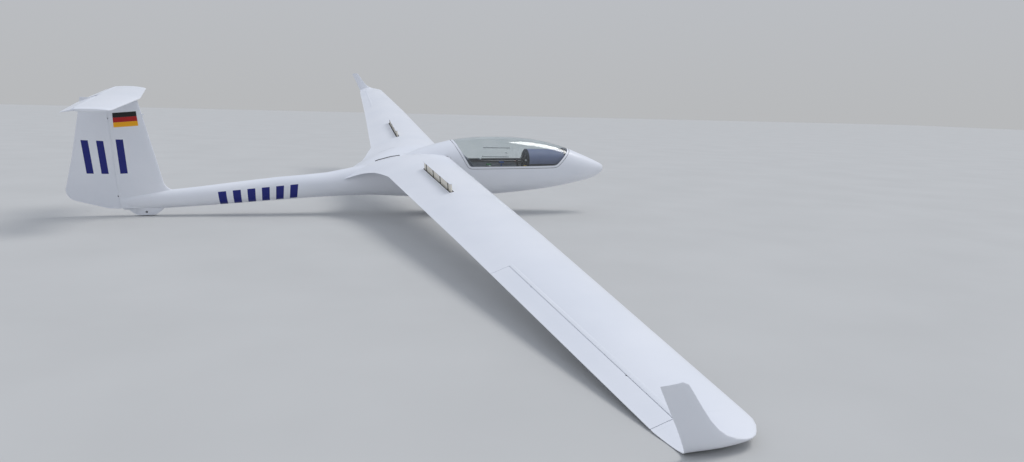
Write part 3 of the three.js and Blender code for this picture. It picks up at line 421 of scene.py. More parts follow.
def shade_all():
    known = {"fuselage": [OUTER, *FAIRINGS, *FINS], "rudder": FINS, "stabilizer": TAILPLANES,
             "elevator": TAILPLANES, "canopy_frame": [OUTER], "canopy_glass": [OUTER],
             "clear_view_window": [OUTER]}
    for name, _ in SIDES:
        known[f"wing_{name}"] = WINGS[name]
        known[f"aileron_{name}"] = WINGS[name]
        known[f"wing_tip_{name}"] = TIPS[name]
    for name, node in NODES.items():
        shade_smoothly(node, known.get(name, ()), DROOPED if name == "elevator" else Matrix())


shade_all()

# Material nodes


def add_node(tree, kind, inputs=(), **settings):
    """A new node; inputs are values or sockets, by number or by name."""
    node = tree.nodes.new(kind)
    for key, value in settings.items():
        setattr(node, key, value)
    for key, value in (inputs.items() if isinstance(inputs, dict) else enumerate(inputs)):
        if isinstance(value, bpy.types.NodeSocket):
            tree.links.new(value, node.inputs[key])
        else:
            node.inputs[key].default_value = value
    return node


class Paint:
    """Builds one node material around a Principled shader."""

    def __init__(self, name, roughness=0.5, metallic=0.0, **sockets):
        self.material = bpy.data.materials.new(name)
        self.material.use_nodes = True
        self.tree = self.material.node_tree
        self.shader = self.tree.nodes["Principled BSDF"]
        self.shader.inputs["Roughness"].default_value = roughness
        self.shader.inputs["Metallic"].default_value = metallic
        for key, value in sockets.items():
            self.shader.inputs[key.replace("_", " ")].default_value = value
        self.coords = self.node("ShaderNodeTexCoord").outputs["Object"]

    def node(self, kind, inputs=(), **settings):
        return add_node(self.tree, kind, inputs, **settings)

    def math(self, operation, *inputs, clamp=False):
        return self.node("ShaderNodeMath", inputs, operation=operation, use_clamp=clamp).outputs[0]

    def noise(self, scale, detail=3.0, roughness=0.5, stretch=None):
        place = self.coords
        if stretch:
            place = self.node("ShaderNodeMapping", {0: place, 3: stretch}).outputs[0]
        return self.node("ShaderNodeTexNoise", {
            "Vector": place, "Scale": scale, "Detail": detail, "Roughness": roughness}).outputs["Fac"]

    def wave(self, scale, direction, distortion):
        return self.node("ShaderNodeTexWave", {
            "Vector": self.coords, "Scale": scale, "Distortion": distortion},
            bands_direction=direction).outputs["Fac"]

    def spread(self, value, low, high, out_low=0.0, out_high=1.0):
        return self.node("ShaderNodeMapRange", (value, low, high, out_low, out_high)).outputs[0]

    def mix(self, factor, first, second):
        return self.node("ShaderNodeMix", {0: factor, 6: first, 7: second}, data_type="RGBA").outputs[2]

    def colour(self, value):
        self.link(value, "Base Color")

    def link(self, value, socket):
        self.tree.links.new(value, self.shader.inputs[socket])

    def uneven(self, scale, low, high, detail=3.0):
        """Roughness that drifts between two values."""
        self.link(self.spread(self.noise(scale, detail), 0.3, 0.7, low, high), "Roughness")

    def bump(self, height, strength, distance):
        previous = self.shader.inputs["Normal"].links
        inputs = {"Height": height, "Strength": strength, "Distance": distance}
        if previous:
            inputs["Normal"] = previous[0].from_socket
        self.link(self.node("ShaderNodeBump", inputs).outputs[0], "Normal")

    def airframe_place(self):
        """The surface's x, y and z in the airframe's frame, in metres."""
        x, y, z = self.node("ShaderNodeSeparateXYZ", [self.coords]).outputs
        x = self.math("SUBTRACT", x, BANK_PLACE[0])
        across = self.math("ADD", self.math("MULTIPLY", x, BANK_COS), self.math("MULTIPLY", z, BANK_SIN))
        up = self.math("SUBTRACT", self.math("MULTIPLY", z, BANK_COS), self.math("MULTIPLY", x, BANK_SIN))
        return across, self.math("SUBTRACT", y, BANK_PLACE[1]), up

    def inside(self, u, v, outline, blur=0.0008):
        """1 inside a convex outline given in millimetres of u and v, 0 outside."""
        corners = [(a * MM, b * MM) for a, b in outline]
        middle = (sum(a for a, _ in corners) / len(corners), sum(b for _, b in corners) / len(corners))
        mask = None
        for k, (a, b) in enumerate(corners):
            c, d = corners[(k + 1) % len(corners)]
            length = math.hypot(c - a, d - b)
            nu, nv = (b - d) / length, (c - a) / length
            if nu * (middle[0] - a) + nv * (middle[1] - b) < 0:
                nu, nv = -nu, -nv
            place = self.math("MULTIPLY_ADD", u, nu / blur, -(nu * a + nv * b) / blur + 0.5)
            edge = self.math("MULTIPLY_ADD", v, nv / blur, place, clamp=True)
            mask = edge if mask is None else self.math("MULTIPLY", mask, edge)
        return mask


def rgb(red, green, blue):
    """A colour given as it looks on a screen, 0 to 255, as the shader's own values."""
    values = [c / 255 for c in (red, green, blue)]
    return tuple(c / 12.92 if c < 0.04045 else ((c + 0.055) / 1.055) ** 2.4 for c in values) + (1.0,)


GELCOAT = rgb(240, 242, 248)
GELCOAT_AGED = rgb(234, 237, 244)
MARK_BLUE = rgb(0, 18, 118)

# Markings on the tail and boom, as y and z: two side lines each, or four corners
FLAG_SIDES = (((3707, 1237), (3703, 1069)), ((3456, 1261), (3439, 1092)))
FLAG_BANDS = (rgb(8, 4, 8), rgb(176, 0, 10), rgb(250, 176, 0))
TAIL_BARS = [
    [(4068, 912), (3990, 911), (3952, 518), (4030, 518)],
    [(3902, 910), (3824, 908), (3790, 518), (3868, 518)],
    [(3692, 928), (3612, 929), (3584, 526), (3665, 521)],
]
BOOM_SIDES = (((2585, 310), (1637, 410)), ((2563, 133), (1652, 229)))
BOOM_BARS = 6
BOOM_FILL = 0.55


def gelcoat(name="gelcoat", marked=False):
    paint = Paint(name, roughness=0.3, Coat_Weight=0.12, Coat_Roughness=0.1, IOR=1.45)
    broad = paint.noise(1.7, 4.0)
    base = paint.mix(paint.spread(broad, 0.35, 0.7), GELCOAT, GELCOAT_AGED)
    fine = paint.noise(60, 5.0, 0.65)
    base = paint.mix(paint.spread(fine, 0.62, 0.8, 0, 0.02), base, rgb(196, 196, 194))
    if marked:
        base = marks(paint, base)
    paint.colour(base)
    paint.uneven(2.5, 0.28, 0.33, 1.0)
    paint.bump(paint.noise(180, 2.0), 0.01, 0.00005)
    return paint.material


def bars_between(first, second, cuts):
    """Four-cornered bars between two lines, one for each pair of shares along them."""
    def at(line, share):
        (a, b), (c, d) = line
        return (a + (c - a) * share, b + (d - b) * share)
    return [[at(first, s), at(first, e), at(second, e), at(second, s)] for s, e in cuts]


def marks(paint, base):
    _, y, z = paint.airframe_place()
    thirds = bars_between(*FLAG_SIDES, [(k / 3, (k + 1) / 3) for k in range(3)])
    reach = BOOM_BARS - 1 + BOOM_FILL
    boom = bars_between(*BOOM_SIDES, [(k / reach, (k + BOOM_FILL) / reach) for k in range(BOOM_BARS)])
    fills = [*zip(thirds, FLAG_BANDS), *((bar, MARK_BLUE) for bar in TAIL_BARS + boom)]
    for outline, colour in fills:
        base = paint.mix(paint.inside(y, z, outline), base, colour)
    return base


def canopy_glass():
    paint = Paint("canopy_pane", roughness=0.02)
    tree = paint.tree
    tree.nodes.remove(paint.shader)
    haze = paint.spread(paint.noise(3, 3.0), 0.4, 0.7)
    tint = paint.mix(haze, rgb(249, 251, 251), rgb(245, 248, 248))
    clear = paint.node("ShaderNodeBsdfTransparent", {"Color": tint})
    gloss = paint.node("ShaderNodeBsdfGlossy", {
        "Color": (1, 1, 1, 1), "Roughness": paint.spread(paint.noise(30), 0.4, 0.8, 0.015, 0.05)})
    slant = paint.node("ShaderNodeLayerWeight", {"Blend": 0.5}).outputs["Facing"]
    shine = paint.math("MULTIPLY_ADD", paint.math("POWER", slant, 5.0), 0.9, 0.05)
    blend = paint.node("ShaderNodeMixShader", (shine, clear.outputs[0], gloss.outputs[0]))
    output = tree.nodes["Material Output"]
    tree.links.new(blend.outputs[0], output.inputs["Surface"])
    return paint.material


def speckled(name, light, dark, roughness, grain, bump, depth=0.0006):
    light, dark = rgb(*light), rgb(*dark)
    paint = Paint(name, roughness=roughness)
    broad = paint.spread(paint.noise(7, 4.0), 0.3, 0.75, 0, 0.6)
    fine = paint.spread(paint.noise(grain, 4.0, 0.6), 0.35, 0.7, 0, 0.7)
    paint.colour(paint.mix(fine, paint.mix(broad, light, dark), dark))
    paint.uneven(12, roughness * 0.85, min(1, roughness * 1.15))
    paint.bump(paint.noise(grain * 2, 3.0), bump, depth)
    return paint.material


def woven(name, light, dark, threads, ribs=False, **sockets):
    paint = Paint(name, roughness=0.85, **sockets)
    warp = paint.wave(threads, "X", 0.6)
    weft = paint.wave(threads, "Z" if ribs else "Y", 0.6)
    weave = paint.math("MAXIMUM", warp, weft) if not ribs else weft
    tone = paint.spread(paint.noise(14, 4.0), 0.3, 0.7, 0, 0.5)
    paint.colour(paint.mix(paint.math("MULTIPLY", weave, 0.55), paint.mix(tone, light, dark), dark))
    paint.bump(weave, 0.35, 0.0006)
    paint.bump(paint.noise(40, 4.0), 0.15, 0.001)
    return paint.material


def metal(name, light, dark, roughness):
    paint = Paint(name, roughness=roughness, metallic=0.9)
    scratch = paint.noise(120, 4.0, 0.6, stretch=(1, 1, 8))
    paint.colour(paint.mix(paint.spread(scratch, 0.35, 0.75), light, dark))
    paint.link(paint.spread(scratch, 0.3, 0.7, roughness * 0.8, roughness * 1.5), "Roughness")
    paint.bump(scratch, 0.08, 0.0004)
    return paint.material


def rubber():
    paint = Paint("tyre_rubber", roughness=0.8)
    dust = paint.spread(paint.noise(18, 5.0, 0.6), 0.45, 0.75, 0, 0.55)
    paint.colour(paint.mix(dust, rgb(30, 30, 31), rgb(92, 88, 80)))
    paint.uneven(25, 0.7, 0.95)
    paint.bump(paint.noise(220, 3.0), 0.2, 0.0006)
    return paint.material


# Speckled finishes: name, light, dark, roughness, grain, bump, bump's depth
SPECKLED = {
    "brake_plate": ("brake_plate", (250, 244, 230), (238, 230, 212), 0.5, 50, 0.04),
    "lining": ("cockpit_lining", (150, 154, 158), (112, 116, 124), 0.7, 130, 0.25),
    "coaming": ("coaming_black", (34, 36, 44), (22, 23, 28), 0.75, 120, 0.3),
    "bay": ("wheel_bay", (150, 152, 150), (96, 94, 88), 0.7, 40, 0.2),
    "piping": ("piping", (60, 70, 88), (40, 46, 60), 0.8, 200, 0.2),
    "panel_black": ("panel_black", (40, 42, 46), (24, 25, 28), 0.6, 260, 0.35),
    "cover_grey": ("cover_grey", (126, 134, 166), (106, 112, 144), 0.55, 160, 0.12),
    "dial_black": ("dial_black", (18, 19, 21), (12, 12, 14), 0.35, 90, 0.05),
    "tick_white": ("tick_white", (238, 238, 232), (214, 214, 206), 0.5, 90, 0.05),
    "control_black": ("control_black", (30, 30, 32), (18, 18, 20), 0.5, 150, 0.2),
    "knob_blue": ("knob_blue", (38, 88, 170), (26, 62, 132), 0.35, 90, 0.05),
    "knob_green": ("knob_green", (52, 142, 80), (36, 108, 58), 0.35, 90, 0.05),
    "knob_yellow": ("knob_yellow", (228, 188, 36), (196, 156, 24), 0.35, 90, 0.05),
    "knob_red": ("knob_red", (190, 34, 30), (150, 22, 20), 0.35, 90, 0.05),
    "tape": ("seal_tape", (240, 242, 248), (232, 235, 241), 0.4, 60, 0.02, 0.0002),
    "white": ("white_plastic", (244, 244, 242), (228, 228, 226), 0.4, 60, 0.03, 0.0002),
    # This dark material is real dark rubber on some parts and painted shade in the airbrake slots and the
    # spine's recess
    "dark": ("dark_rubber_and_painted_shade", (30, 30, 34), (18, 18, 22), 0.7, 120, 0.1, 0.0003),
}
MATERIALS = {
    "gelcoat": gelcoat(),
    "marked": gelcoat("gelcoat_marked", True),
    "canopy_pane": canopy_glass(),
    "cushion": woven("cushion_cloth", rgb(96, 108, 124), rgb(58, 68, 84), 260, Sheen_Weight=0.3),
    "webbing": woven("webbing", rgb(44, 62, 112), rgb(26, 38, 76), 240, True, Sheen_Weight=0.2),
    "steel": metal("gear_steel", rgb(168, 172, 176), rgb(110, 114, 118), 0.35),
    "alloy": metal("wheel_alloy", rgb(206, 208, 210), rgb(160, 162, 166), 0.32),
    "rubber": rubber(),
}
MATERIALS.update((key, speckled(*row)) for key, row in SPECKLED.items())

# The solids that each material covers; the others are gelcoat
COVERED = {
    "brake_plate": "airbrake_port airbrake_starboard",
    "canopy_pane": "canopy_glass clear_view_window",
    "lining": "seat_pan seat_back baggage_shelf side_console_port side_console_starboard",
    "cushion": "back_cushion seat_cushion headrest",
    "webbing": "harness",
    "panel_black": "instrument_panel",
    "cover_grey": "instrument_cover",
    "dial_black": "instruments",
    "control_black": "control_stick gear_lever",
    "steel": "rudder_pedals main_gear_leg tow_hook tail_axle",
    "knob_blue": "airbrake_lever",
    "knob_green": "trim_lever",
    "knob_yellow": "release_knob",
    "rubber": "main_tyre tail_tyre",
    "alloy": "main_rim tail_rim",
    "marked": "fuselage rudder",
}
NODE_PAINT = {name: key for key, names in COVERED.items() for name in names.split()}


# Zones of the solids whose deeper faces take another paint, in y and half widths
COCKPIT_Y = (-2245, -200)
COCKPIT_HALF = 305
RIM_FLOOR = 600
BAY_Y = -200
BAY_REACH, BAY_HALF, BAY_TOP = 206, 109, 384
# BRAKE_X and BRAKE_Y bound the airbrake slots, whose deep faces are painted dark as painted shade
BRAKE_X, BRAKE_Y = (1140, 2510), (140, 250)


def off_hull(place):
    """How far a place lies inside the fuselage's outer surface."""
    return OUTER.tree.find_nearest(place)[3]


def paint_shell(shell):
    """Lining, wheel bay and the opening's cut edge, as slots 1 to 3 of the fuselage."""
    for key in ("lining", "bay", "coaming"):
        shell.materials.append(MATERIALS[key])
    for face in shell.polygons:
        place = TO_MM @ face.center
        deep = off_hull(place)
        in_cockpit = COCKPIT_Y[0] < place.y < COCKPIT_Y[1] and abs(place.x) < COCKPIT_HALF
        if in_cockpit and deep > WALL - 4:
            face.material_index = 1
        if in_cockpit and deep > 2.5 and place.z > RIM_FLOOR:
            normal, _ = OUTER.normal_near(place)
            if abs(normal.dot(TO_MM.to_3x3() @ face.normal) / TO_MM.to_scale()[0]) < 0.8:
                face.material_index = 3
        in_bay = abs(place.x) < BAY_HALF and abs(place.y - BAY_Y) < BAY_REACH and place.z < BAY_TOP
        if in_bay and deep > 1.5:
            face.material_index = 2


def paint_nodes():
    for name, node in NODES.items():
        node.data.materials.clear()
        node.data.materials.append(MATERIALS[NODE_PAINT.get(name, "gelcoat")])
    rim = NODES["canopy_frame"].data
    rim.materials.append(MATERIALS["coaming"])
    for face in rim.polygons:
        if off_hull(TO_MM @ face.center) > 3.5:
            face.material_index = 1
    # Painted shade: the wings' faces deep inside the airbrake slots take the dark material, standing for the
    # shade in the slots
    for side_name, _ in SIDES:
        skin = NODES[f"wing_{side_name}"].data
        skin.materials.append(MATERIALS["dark"])
        for face in skin.polygons:
            centre = TO_MM @ face.center
            place = PANELS[side_name].inverted() @ centre
            distance = min(patch.tree.find_nearest(centre)[3] for patch in WINGS[side_name])
            near_slot = BRAKE_X[0] < abs(place.x) < BRAKE_X[1] and BRAKE_Y[0] < place.y < BRAKE_Y[1]
            if near_slot and distance > 2.5:
                face.material_index = 1
    paint_shell(NODES["fuselage"].data)


paint_nodes()

# Pieces built over the solids


class Form:
    """A mesh being built from points in millimetres of the airframe's frame, or of another given frame."""

    def __init__(self, matrix=None):
        self.matrix = FROM_MM @ matrix if matrix else FROM_MM
        self.points = []
        self.faces = []
        self.paints = []
        self.paint = 0

    def add(self, points, faces):
        start = len(self.points)
        self.points += [Vector(p) for p in points]
        self.faces += [tuple(start + k for k in face) for face in faces]
        self.paints += [self.paint] * len(faces)

    def loops(self, rows, ring=False):
        """Joins closed rows of points; ring joins the last row to the first, else both get a cap."""
        count, around = len(rows), len(rows[0])
        faces = []
        for r in range(count if ring else count - 1):
            after = (r + 1) % count
            for k in range(around):
                beside = (k + 1) % around
                faces.append((r * around + k, r * around + beside,
                              after * around + beside, after * around + k))
        if not ring:
            faces.append(tuple(reversed(range(around))))
            faces.append(tuple((count - 1) * around + k for k in range(around)))
        self.add([p for row in rows for p in row], faces)

    def box(self, low, high):
        (a, b, c), (d, e, f) = low, high
        self.loops([[(a, b, z), (d, b, z), (d, e, z), (a, e, z)] for z in (c, f)])

    def lathe(self, profile, origin, axis, sides=32, ring=False):
        """A profile of distances along an axis and radii, turned about it."""
        axis = Vector(axis).normalized()
        across = axis.orthogonal().normalized()
        third = axis.cross(across)
        turns = [2 * math.pi * k / sides for k in range(sides)]
        self.loops([[Vector(origin) + axis * along + (across * math.cos(t) + third * math.sin(t)) * radius
                     for t in turns] for along, radius in profile], ring=ring)

    def tube(self, path, radius, sides=10, ring=False):
        path = [Vector(p) for p in path]
        count = len(path)
        rows = []
        across = None
        for k, point in enumerate(path):
            before = path[(k - 1) % count] if ring or k else point
            after = path[(k + 1) % count] if ring or k < count - 1 else point
            way = (after - before).normalized()
            across = way.orthogonal() if across is None else across - way * across.dot(way)
            across.normalize()
            third = way.cross(across)
            turns = [2 * math.pi * n / sides for n in range(sides)]
            rows.append([point + (across * math.cos(t) + third * math.sin(t)) * radius for t in turns])
        self.loops(rows, ring=ring)

    def make(self, name, materials, body="airframe", bevel=0.0, angle=32):
        mesh = bpy.data.meshes.new(name)
        mesh.from_pydata([self.matrix @ p for p in self.points], [], self.faces)
        for key in materials:
            mesh.materials.append(MATERIALS[key])
        mesh.polygons.foreach_set("material_index", self.paints)
        work = bmesh.new()
        work.from_mesh(mesh)
        bmesh.ops.recalc_face_normals(work, faces=work.faces)
        limit = math.radians(angle)
        if bevel:
            sharp = [e for e in work.edges if len(e.link_faces) == 2 and e.calc_face_angle(0) > limit]
            bmesh.ops.bevel(work, geom=sharp, offset=bevel * MM, segments=2, profile=0.7, affect="EDGES",
                            clamp_overlap=True)
        for edge in work.edges:
            edge.smooth = len(edge.link_faces) == 2 and edge.calc_face_angle(0) < limit
        for face in work.faces:
            face.smooth = True
        work.to_mesh(mesh)
        work.free()
        piece = add_object(name, mesh)
        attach(piece, body)
        return piece


def surface_of(obj):
    places = [TO_MM @ v.co for v in obj.data.vertices]
    return BVHTree.FromPolygons(places, [tuple(f.vertices) for f in obj.data.polygons])


def hull_x(y, z, inset):
    """Half width of the fuselage at a height, less an inset."""
    _, top, bottom, half, wide = smooth_row(FUSELAGE_SECTIONS, y)
    roundness = roundness_at(y)
    rise = (top - wide if z > wide else wide - bottom) - inset
    share = min(1, abs(z - wide) / rise)
    return (half - inset) * (1 - share ** roundness) ** (1 / roundness)


HULL = surface_of(NODES["fuselage"])

# Cushions

# The seat's back runs this far aft and up; the pads lie in frames along it and along the seat
BACK_RUN, BACK_RISE = 352, 425
LEAN = math.atan2(BACK_RISE, BACK_RUN)
LEANING = Matrix.Translation((0, -800, 358)) @ Matrix.Rotation(LEAN, 4, "X")
BACK_LENGTH = math.hypot(BACK_RUN, BACK_RISE)
SITTING = Matrix.Translation((0, -1190, 385)) @ Matrix.Rotation(math.atan2(-40, 280), 4, "X")
VOXEL = 6 * MM
PAD_INSET = 5
SWELL_FRAMES = 20
SKIN_GAP = 0.2
CHANNEL_DEPTH = 5
CHANNEL_WIDTH = 5

# cap is the most that a point swells, across and along are the sewn channels' places,
# halves are half the width and the thickness, and reach is from end to end
PADS = {
    "back_cushion": {
        "frame": LEANING, "cap": 9, "fill": 0.6, "across": [90 + 72 * k for k in range(6)], "along": [0],
        "halves": (185, 34), "reach": (72, 500)},
    "seat_cushion": {
        "frame": SITTING, "cap": 9, "fill": 0.6, "across": [60 + 60 * k for k in range(5)], "along": [0],
        "halves": (160, 34), "reach": (6, 350)},
    "headrest": {
        "frame": LEANING, "cap": 8, "fill": 0.7, "across": [607], "along": [],
        "halves": (85, 22), "reach": (556, 660)},
}


def evaluated_mesh(obj):
    seen = obj.evaluated_get(bpy.context.evaluated_depsgraph_get())
    return bpy.data.meshes.new_from_object(seen)


def swollen(obj, cap):
    """Cloth pressure fills the form, and no point moves further than cap."""
    cloth = obj.modifiers.new("fill", "CLOTH")
    cloth.settings.use_pressure = True
    cloth.settings.uniform_pressure_force = 4
    cloth.settings.effector_weights.gravity = 0
    cloth.settings.quality = 5
    cloth.point_cache.frame_start = 1
    cloth.point_cache.frame_end = SWELL_FRAMES
    scene = bpy.context.scene
    for frame_number in range(1, SWELL_FRAMES + 1):
        scene.frame_set(frame_number)
    filled = evaluated_mesh(obj)
    moved = [v.co.copy() for v in filled.vertices]
    obj.modifiers.remove(cloth)
    scene.frame_set(1)
    for v, place in zip(obj.data.vertices, moved):
        step = place - v.co
        if step.length > cap * MM:
            step *= cap * MM / step.length
        v.co = v.co + step
    bpy.data.meshes.remove(filled)


def held_inside(mesh, solid):
    for v in mesh.vertices:
        place = TO_MM @ v.co
        near, normal, _, distance = solid.find_nearest(place)
        if near and (place - near).dot(normal) > 0 and distance > SKIN_GAP:
            v.co = FROM_MM @ (near + (place - near) * (SKIN_GAP / distance))


def stitched(mesh, pad):
    """Sewn channels across and along the pad's face."""
    to_pad = pad["frame"].inverted() @ TO_MM
    from_pad = FROM_MM @ pad["frame"]
    half, face = pad["halves"]
    for v in mesh.vertices:
        u, along, out = to_pad @ v.co
        if out < face * 0.35 or abs(u) > half - 12:
            continue
        dip = sum(math.exp(-((along - line) / CHANNEL_WIDTH) ** 2) for line in pad["across"])
        dip += sum(math.exp(-((u - line) / CHANNEL_WIDTH) ** 2) for line in pad["along"])
        dip = min(1, dip)
        ripple = 0.6 * math.sin(along * 0.21 + 2 * math.sin(u * 0.05)) * math.sin(u * 0.11 + 1.3)
        v.co = from_pad @ Vector((u, along, out - CHANNEL_DEPTH * dip + ripple * (1 - dip) - 0.6))


def add_pad(name):
    pad = PADS[name]
    source = NODES[name]
    mesh = source.data.copy()
    obj = add_object(f"{name}_pad", mesh)
    work = bmesh.new()
    work.from_mesh(mesh)
    bmesh.ops.remove_doubles(work, verts=work.verts, dist=1e-5)
    work.normal_update()
    moves = [(v, v.normal.copy()) for v in work.verts]
    for v, normal in moves:
        v.co -= normal * PAD_INSET * 1.7 * MM
    work.to_mesh(mesh)
    work.free()
    remesh = obj.modifiers.new("voxels", "REMESH")
    remesh.mode = "VOXEL"
    remesh.voxel_size = VOXEL
    obj.data = evaluated_mesh(obj)
    obj.modifiers.clear()
    swollen(obj, pad["cap"])
    smooth = obj.modifiers.new("smooth", "SMOOTH")
    smooth.iterations = 4
    finer = obj.modifiers.new("finer", "SUBSURF")
    finer.levels = 1
    finer.render_levels = 1
    obj.data = evaluated_mesh(obj)
    obj.modifiers.clear()
    held_inside(obj.data, surface_of(source))
    stitched(obj.data, pad)
    obj.data.materials.clear()
    obj.data.materials.append(MATERIALS["cushion"])
    obj.data.polygons.foreach_set("use_smooth", [True] * len(obj.data.polygons))
    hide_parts(name)
    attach(obj, "airframe")
    add_piping(name, obj, pad)
    return obj


def add_piping(name, obj, pad):
    """A welt round the pad's face, laid on its skin."""
    surface = surface_of(obj)
    half, face = pad["halves"]
    low, high = pad["reach"]
    middle = (low + high) / 2
    reach = (high - low) / 2
    path = []
    for k in range(96):
        turn = 2 * math.pi * k / 96
        c, s = math.cos(turn), math.sin(turn)
        u = (half + 6) * math.copysign(abs(c) ** 0.32, c)
        along = middle + (reach + 6) * math.copysign(abs(s) ** 0.32, s)
        guess = pad["frame"] @ Vector((u, along, face - 4))
        near, _, _, _ = surface.find_nearest(guess)
        path.append(near)
    welt = Form()
    welt.tube(path, 2.4, 8, ring=True)
    welt.make(f"{name}_welt", ["piping"], angle=60)


pads = {name: add_pad(name) for name in PADS}

# Harness

STRAP = {"x": 70, "half": 22, "thick": 1.7, "start": 0.33, "end": 0.985}
LAP_HALF = 20
BUCKLE_SHARE = 0.31
ADJUSTER_SHARE = 0.56
ADJUSTER_BARS = (((-29, -11, -1.6), (29, -7, 1.6)), ((-29, 7, -1.6), (29, 11, 1.6)),
                 ((-29, -2, -1.2), (29, 2, 1.2)), ((-29, -11, -1.6), (-25, 11, 1.6)),
                 ((25, -11, -1.6), (29, 11, 1.6)))
LOOK_FROM = 120


def on_back(u, share, lift, surface):
    """A place on the back cushion's face, or on the seat's back above it."""
    along = share * BACK_LENGTH
    start = LEANING @ Vector((u, along, LOOK_FROM))
    inward = LEANING.to_3x3() @ Vector((0, 0, -1))
    hit, _, _, distance = surface.ray_cast(start, inward)
    depth = LOOK_FROM - distance if hit and distance < LOOK_FROM - 1 else 2.0
    return LEANING @ Vector((u, along, min(depth, 33.5) + lift))


def ribbon(form, centres, across, half, out):
    thick = STRAP["thick"]
    corners = [(-half, -thick / 2), (-half, thick / 2), (half, thick / 2), (half, -thick / 2)]
    form.loops([[centre + across * u + out * v for u, v in corners] for centre in centres])


def add_harness():
    surface = surface_of(pads["back_cushion"])
    out = LEANING.to_3x3() @ Vector((0, 0, 1))
    up_back = LEANING.to_3x3() @ Vector((0, 1, 0))
    form = Form()
    for side in (-1, 1):
        centres = []
        for k, share in enumerate(steps(STRAP["start"], STRAP["end"], 40)):
            inset = 34 * max(0, 1 - (share - STRAP["start"]) / 0.12) * side
            lift = 1.6 + 0.5 * math.sin(k * 0.9 + side)
            u = side * STRAP["x"] - inset
            spots = [on_back(u + spread, share, lift, surface) for spread in (-16, 0, 16)]
            highest = max(spots, key=lambda p: p.dot(out))
            centres.append(highest + Vector((u - highest.x, 0, 0)))
        ribbon(form, centres, Vector((1, 0, 0)), STRAP["half"], out)
        lap = [on_back(side * (18 + 158 * t), BUCKLE_SHARE - 0.14 * t ** 1.2, 1.8, surface)
               for t in steps(0, 1, 24)]
        ribbon(form, lap, up_back, LAP_HALF, out)
    form.paint = 1
    for side in (-1, 1):
        middle = on_back(side * STRAP["x"], ADJUSTER_SHARE, 3.4, surface)
        frame_matrix = Matrix.Translation(middle) @ Matrix.Rotation(LEAN, 4, "X")
        for low, high in ADJUSTER_BARS:
            part = Form()
            part.box(low, high)
            form.add([frame_matrix @ p for p in part.points], part.faces)
    middle = on_back(0, BUCKLE_SHARE, 0.5, surface)
    form.lathe([(0, 24), (2, 27), (9, 27), (12, 24), (12, 17), (14, 15), (14.5, 0.5)], middle, out, 40)
    form.paint = 2
    form.lathe([(13, 11), (16, 11), (17, 9), (17.2, 0.5)], middle, out, 28)
    harness = form.make("shoulder_harness", ["webbing", "steel", "knob_red"], bevel=0.35)
    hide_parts("harness")


add_harness()

# Wheels

MAIN_CENTRE = Vector((0, -200, 178))
TAIL_CENTRE = Vector((0, 3407, 52))


def tyre_profile(half, radius, bead, grooves, count):
    """Points of distance along the axle and radius, with grooves cut round the tread."""
    shoulder = min(half, (radius - bead) * 0.62)
    ring = radius - shoulder
    turns = [-math.pi / 2 + math.pi * k / count for k in range(count + 1)]
    places = [(half * math.sin(turn), ring + shoulder * math.cos(turn)) for turn in turns]
    profile = [(along, out) for along, out in places if all(abs(along - g) > 5 for g in grooves)]
    for g in grooves:
        out = ring + shoulder * math.sqrt(max(0, 1 - (g / half) ** 2))
        profile += [(g - 3.2, out - 0.4), (g - 2.2, out - 5), (g + 2.2, out - 5), (g + 3.2, out - 0.4)]
    profile.sort(key=lambda p: p[0])
    return [(-half * 0.72, bead)] + profile + [(half * 0.72, bead)]


def add_wheels():
    main = Form()
    main.lathe(tyre_profile(62, 178, 70, [-26, -9, 9, 26], 18), MAIN_CENTRE, (1, 0, 0), 56, ring=True)
    tyre = main.make("main_tyre_grooved", ["rubber"], "main_wheel", angle=40)
    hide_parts("main_tyre")
    tail = Form()
    tail.lathe(tyre_profile(17, 52, 26, [0], 10), TAIL_CENTRE, (1, 0, 0), 40, ring=True)
    tyre = tail.make("tail_tyre_grooved", ["rubber"], "tail_wheel", angle=40)
    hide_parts("tail_tyre")
    bolts = Form()
    for side in (-1, 1):
        for k in range(6):
            turn = 2 * math.pi * k / 6
            place = MAIN_CENTRE + Vector((side * 17, 37 * math.cos(turn), 37 * math.sin(turn)))
            bolts.lathe([(0, 8), (2, 8), (2, 5.5), (7, 5.5), (8, 4.6)], place, (side, 0, 0), 6)
    stem = MAIN_CENTRE + Vector((24, 0, 52))
    bolts.lathe([(0, 4), (14, 4), (14, 3), (22, 3), (23, 2)], stem, (1, 0, 0.2), 14)
    bolts.make("main_wheel_bolts", ["steel"], "main_wheel", bevel=0.4)
    axle = Form()
    for side in (-1, 1):
        axle.paint = 1
        axle.lathe([(-1, 13), (1.4, 13), (1.8, 12)], (side * 39, 3407, 52), (side, 0, 0), 28)
        axle.paint = 0
        axle.lathe([(0, 7.5), (5, 7.5), (6, 6.5)], (side * 40, 3407, 52), (side, 0, 0), 6)
    axle.make("tail_axle_bolts", ["steel", "dark"], bevel=0.3)


add_wheels()

# Seal tapes over the hinge gaps

TAPE_WIDTH = 34


def tape(form, place, count, spans):
    """A thin strip; place(t, offset, lift) is a point on it, from its share along and its distance ahead."""
    rows = []
    for t in steps(0, 1, count):
        upper = [place(t, offset, lift) for offset, lift in spans]
        lower = [place(t, offset, -0.6) for offset, _ in reversed(spans)]
        rows.append([*upper, *lower])
    form.loops(rows)


def tape_spans(end):
    """Distances ahead of the hinge line and heights over the skin, up to where the moving nose passes."""
    thick = 0.45
    return [(-TAPE_WIDTH, 0.0), (-TAPE_WIDTH + 1, thick), (-26, thick), (-18, thick), (end - 1, thick),
            (end, 0.0)]


AILERON_TAPE = tape_spans(-6.5)
RUDDER_TAPE = tape_spans(-13)
ELEVATOR_TAPE = tape_spans(-2)
RUDDER_TAPE_Z = (118, 1352)
ELEVATOR_TAPE_X = (112, 1092)


